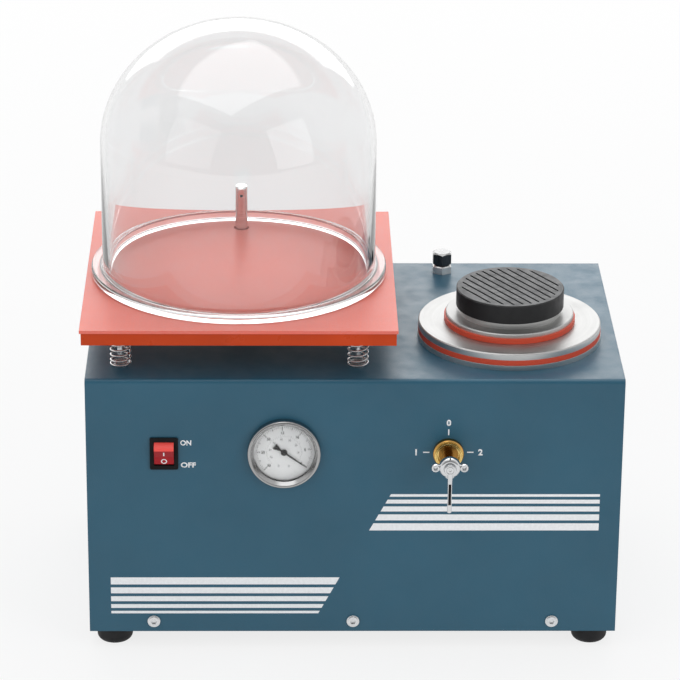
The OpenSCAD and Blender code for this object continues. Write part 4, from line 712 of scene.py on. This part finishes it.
def add_stripes():
    """Two blocks of white bars, each bar with its slanted end."""
    widths = [2.6, 4.0, 5.2, 6.2, 7.4]
    bm = bmesh.new()
    top, right = 143.9, 230.4
    z = top
    for w in widths:
        left = [34.4 - 20.1 * (top - h) / 37.6 for h in (z, z - w)]
        slab(bm, [(left[0], z), (right, z), (right, z - w), (left[1], z - w)], 0, PRINT)
        z -= w + 3.05
    top, left = 57.0, -229.3
    z = top
    for w in widths[::-1]:
        right = [-13.1 - 19.9 * (top - h) / 38 for h in (z, z - w)]
        slab(bm, [(left, z), (right[0], z), (right[1], z - w), (left, z - w)], 0, PRINT)
        z -= w + 3.15
    piece("panel_stripes", bm, "white", "cabinet", smooth=False)


add_stripes()


def lettering(bm, text, left, right, low, high, depth, turn=None, bold=0.0):
    """Raised text fitted to a box in its own plane, then moved by turn."""
    curve = bpy.data.curves.new("lettering", "FONT")
    curve.body = text
    curve.size = 1.0
    curve.offset = bold
    curve.resolution_u = 6
    holder = bpy.data.objects.new("lettering", curve)
    bpy.context.scene.collection.objects.link(holder)
    bpy.context.view_layer.update()
    flat = holder.evaluated_get(bpy.context.evaluated_depsgraph_get()).to_mesh()
    xs = [v.co.x for v in flat.vertices]
    ys = [v.co.y for v in flat.vertices]
    sx = (right - left) / (max(xs) - min(xs)) if right is not None else (high - low) / (max(ys) - min(ys))
    sy = (high - low) / (max(ys) - min(ys))
    centre = (max(xs) + min(xs)) / 2
    start = left if right is None else (left + right) / 2
    part = bmesh.new()
    part.from_mesh(flat)
    for v in part.verts:
        v.co = Vector((start + (v.co.x - centre) * sx, low + (v.co.y - min(ys)) * sy, 0))
    faces = bmesh.ops.extrude_face_region(part, geom=part.faces[:])
    for v in (e for e in faces["geom"] if isinstance(e, bmesh.types.BMVert)):
        v.co.z += depth
    if turn is not None:
        part.transform(turn)
    scratch = bpy.data.meshes.new("lettering")
    part.to_mesh(scratch)
    part.free()
    bm.from_mesh(scratch)
    bpy.data.meshes.remove(scratch)
    holder.to_mesh_clear()
    bpy.data.objects.remove(holder)
    bpy.data.curves.remove(curve)


# Panel lettering is laid out in millimetres: x across, y up, z out of the panel.
PANEL = Matrix.Translation(panel(0, 0)) @ Matrix.Rotation(math.pi / 2, 4, "X") @ Matrix.Scale(0.001, 4)


def add_panel_marks():
    """ON and OFF by the switch, and plain position marks round the valve."""
    bm = bmesh.new()
    lettering(bm, "ON", -162.4, -152.0, 193.8, 199.2, PRINT, PANEL, 0.035)
    lettering(bm, "OFF", -162.0, -147.9, 171.2, 176.6, PRINT, PANEL, 0.035)
    x, z = 87.2, 187.0
    lettering(bm, "1", x - 30, None, z - 3.2, z + 3.2, PRINT, PANEL, 0.04)
    lettering(bm, "2", x + 30, None, z - 3.2, z + 3.2, PRINT, PANEL, 0.04)
    lettering(bm, "0", x, None, z + 26.8, z + 33.2, PRINT, PANEL, 0.04)
    for angle in (0, 90, 180):
        a = math.radians(angle)
        c, s = math.cos(a), math.sin(a)
        ends = [(17.5, -0.55), (23.5, -0.55), (23.5, 0.55), (17.5, 0.55)]
        slab(bm, [(x + r * c - t * s, z + r * s + t * c) for r, t in ends], 0, PRINT)
    piece("panel_marks", bm, "white", "cabinet", smooth=False)


add_panel_marks()


def ring(bm, centre, inner, outer, depth, turn, sides=32):
    """A flat ring with a given thickness in its own plane."""
    loops = []
    for radius, height in ((outer, 0), (outer, depth), (inner, depth), (inner, 0)):
        loops.append([bm.verts.new(turn @ Vector((centre[0] + radius * math.cos(a), centre[1]
                                                  + radius * math.sin(a), height)))
                      for a in (2 * math.pi * k / sides for k in range(sides))])
    for low, high in zip(loops, loops[1:] + loops[:1]):
        for k in range(sides):
            j = (k + 1) % sides
            bm.faces.new((low[k], low[j], high[j], high[k]))


def bar(bm, corners, depth, turn):
    near = [bm.verts.new(turn @ Vector((x, y, depth))) for x, y in corners]
    far = [bm.verts.new(turn @ Vector((x, y, 0))) for x, y in corners]
    bm.faces.new(near)
    bm.faces.new(far[::-1])
    for i in range(len(corners)):
        j = (i + 1) % len(corners)
        bm.faces.new((near[i], near[j], far[j], far[i]))


# The dial's plane: x across, y up, z towards the glass, in millimetres from its middle.
DIAL = (Matrix.Translation(GAUGE + Vector((0, 0.0002, 0))) @ Matrix.Rotation(math.pi / 2, 4, "X")
        @ Matrix.Scale(0.001, 4))
# The angle of the scales' zero, and the whole scale's turn from it, in degrees.
ZERO, SWEEP = -36.0, 260.0
OUTER_SCALE, INNER_SCALE = 26.4, 15.6


def add_dial():
    """Two scales of plain numbers with their ticks, and two dial screws."""
    bm = bmesh.new()
    for i in range(61):
        a = math.radians(ZERO + SWEEP * i / 60)
        length, half = (4.2, 0.32) if i % 10 == 0 else (3.0, 0.22) if i % 5 == 0 else (1.8, 0.15)
        c, s = math.cos(a), math.sin(a)
        bar(bm, [(r * c - t * s, r * s + t * c) for r, t in
                 ((OUTER_SCALE - length, -half), (OUTER_SCALE, -half), (OUTER_SCALE, half),
                  (OUTER_SCALE - length, half))], DIAL_PRINT, DIAL)
    for i in range(39):
        a = math.radians(ZERO + SWEEP * i / 38)
        length = 1.9 if i % 5 == 0 else 1.1
        c, s = math.cos(a), math.sin(a)
        bar(bm, [(r * c - t * s, r * s + t * c) for r, t in
                 ((INNER_SCALE, -0.1), (INNER_SCALE + length, -0.1), (INNER_SCALE + length, 0.1),
                  (INNER_SCALE, 0.1))], DIAL_PRINT, DIAL)
    for i in range(7):
        a = math.radians(ZERO + SWEEP * i / 6)
        x, y = 19.6 * math.cos(a), 19.6 * math.sin(a)
        lettering(bm, str(i * 5), x, None, y - 1.35, y + 1.35, DIAL_PRINT, DIAL, 0.035)
    for i in range(8):
        a = math.radians(ZERO + SWEEP * i * 10 / 76)
        x, y = 13.2 * math.cos(a), 13.2 * math.sin(a)
        lettering(bm, str(i * 10), x, None, y - 0.95, y + 0.95, DIAL_PRINT, DIAL)
    piece("dial_print", bm, "ink", "cabinet", smooth=False)
    bm = bmesh.new()
    for x, y in ((-5.0, -14.0), (4.5, -14.0)):
        dome = [(0.0, 0.55), (0.5, 0.5), (0.9, 0.36), (1.15, 0.18), (1.25, 0.0)]
        loops = [[bm.verts.new(DIAL @ Vector((x + r * math.cos(a), y + r * math.sin(a), h)))
                  for a in (2 * math.pi * k / 24 for k in range(24 if r else 1))] for r, h in dome]
        for k in range(24):
            bm.faces.new((loops[0][0], loops[1][k], loops[1][(k + 1) % 24]))
            for inner, outer in zip(loops[1:], loops[2:]):
                bm.faces.new((inner[k], outer[k], outer[(k + 1) % 24], inner[(k + 1) % 24]))
        bm.faces.new(loops[-1])
    piece("dial_screws", bm, "screw", "cabinet")


add_dial()


add_handle()


def add_rocker_marks():
    """The line and the ring moulded in white on the rocker's two faces."""
    tip = Vector((0, 10.7 * math.cos(math.radians(36.9)), 10.7 * math.sin(math.radians(36.9))))
    crease = Vector((0, 0, 5.5))
    pivot = Matrix.Translation(SWITCH + Vector((0, 0.001, 0))) @ Matrix.Rotation(math.pi / 2, 4, "X")
    pivot = pivot @ Matrix.Rotation(math.radians(22.6), 4, "X") @ Matrix.Scale(0.001, 4)
    slope = math.atan2(tip.z - crease.z, tip.y)
    bm = bmesh.new()
    upper = pivot @ Matrix.Translation(crease) @ Matrix.Rotation(slope, 4, "X")
    bar(bm, [(-0.55, 1.6), (0.55, 1.6), (0.55, 6.6), (-0.55, 6.6)], 0.05, upper)
    lower = pivot @ Matrix.Translation(crease) @ Matrix.Rotation(-slope, 4, "X")
    ring(bm, (0, -5.4), 1.9, 2.8, 0.05, lower, 48)
    piece("rocker_marks", bm, "white", "rocker", smooth=False)


add_rocker_marks()


# ---- studio ----------------------------------------------------------------------------------
def add_light(name, place, aim, size, power, mirrored=True):
    data = bpy.data.lights.new(name, "AREA")
    data.shape = "RECTANGLE"
    data.size, data.size_y = size
    data.energy = power
    obj = bpy.data.objects.new(name, data)
    obj.matrix_world = (Matrix.Translation(place)
                        @ (Vector(aim) - Vector(place)).to_track_quat("-Z", "Y").to_matrix().to_4x4())
    obj.visible_glossy = mirrored
    bpy.context.scene.collection.objects.link(obj)


def seen_rays(tree):
    """1 for rays that the eye follows: straight, reflected and through glass."""
    path = tree.nodes.new("ShaderNodeLightPath")
    total = None
    for kind in ("Is Camera Ray", "Is Glossy Ray", "Is Transmission Ray"):
        if total is None:
            total = path.outputs[kind]
            continue
        either = tree.nodes.new("ShaderNodeMath")
        either.operation = "MAXIMUM"
        tree.links.new(total, either.inputs[0])
        tree.links.new(path.outputs[kind], either.inputs[1])
        total = either.outputs[0]
    return total


def add_floor():
    bm = bmesh.new()
    bmesh.ops.create_grid(bm, x_segments=8, y_segments=8, size=4)
    mesh = bpy.data.meshes.new("floor")
    bm.to_mesh(mesh)
    bm.free()
    floor = bpy.data.objects.new("floor", mesh)
    g = Graph("floor_white")
    tone = g.mix(g.span(g.noise(3), 0.3, 0.7), (0.84, 0.84, 0.84), (0.86, 0.86, 0.86))
    mesh.materials.append(g.finish(tone, 0.7))
    body = g.out.inputs[0].links[0].from_socket
    glow = g.node("Emission", {"Color": (1.0, 1.0, 1.0), "Strength": 1.0})
    x, y, _ = g.axes()
    share = g.math("MULTIPLY", seen_rays(g.tree), g.span(g.length(x, y), 0.7, 2.2, 0.8, 1.0))
    mixed = g.node("MixShader", {0: share, 1: body, 2: glow.outputs[0]})
    g.tree.links.new(mixed.outputs[0], g.out.inputs[0])
    bpy.context.scene.collection.objects.link(floor)


def add_world():
    world = bpy.data.worlds.new("world")
    world.use_nodes = True
    tree = world.node_tree
    tree.nodes.clear()
    out = tree.nodes.new("ShaderNodeOutputWorld")
    white = tree.nodes.new("ShaderNodeBackground")
    white.inputs[0].default_value = (1, 1, 1, 1)
    room = tree.nodes.new("ShaderNodeBackground")
    room.inputs[0].default_value = (0.96, 0.98, 1, 1)
    room.inputs[1].default_value = 0.42
    pick = tree.nodes.new("ShaderNodeMixShader")
    tree.links.new(seen_rays(tree), pick.inputs[0])
    tree.links.new(room.outputs[0], pick.inputs[1])
    tree.links.new(white.outputs[0], pick.inputs[2])
    # Metal and paint show the white backdrop behind and beside, and the dimmer room in front.
    place = tree.nodes.new("ShaderNodeTexCoord")
    axes = tree.nodes.new("ShaderNodeSeparateXYZ")
    tree.links.new(place.outputs["Generated"], axes.inputs[0])
    depth = tree.nodes.new("ShaderNodeMapRange")
    tree.links.new(axes.outputs[1], depth.inputs[0])
    for i, value in ((1, -0.8), (2, -0.1), (3, 0.3), (4, 1.0)):
        depth.inputs[i].default_value = value
    shown = tree.nodes.new("ShaderNodeBackground")
    shown.inputs[0].default_value = (1, 1, 1, 1)
    tree.links.new(depth.outputs[0], shown.inputs[1])
    path = tree.nodes.new("ShaderNodeLightPath")
    last = tree.nodes.new("ShaderNodeMixShader")
    tree.links.new(path.outputs["Is Glossy Ray"], last.inputs[0])
    tree.links.new(pick.outputs[0], last.inputs[1])
    tree.links.new(shown.outputs[0], last.inputs[2])
    tree.links.new(last.outputs[0], out.inputs[0])
    bpy.context.scene.world = world
    bpy.context.scene.view_settings.view_transform = "Standard"


def add_studio():
    add_floor()
    add_light("overhead", (-0.1, 0.1, 2.2), (0, 0, 0.2), (2.4, 1.8), 17)
    add_light("front_left", (-2.1, -2.2, 1.5), (0, 0, 0.2), (2.4, 2.4), 20, False)
    add_light("front_right", (2.2, -2.0, 1.4), (0, 0, 0.2), (2.0, 2.4), 29, False)
    add_light("behind", (0, 3.4, 1.5), (0, 0, 0.3), (4.6, 1.7), 48)
    add_world()


add_studio()
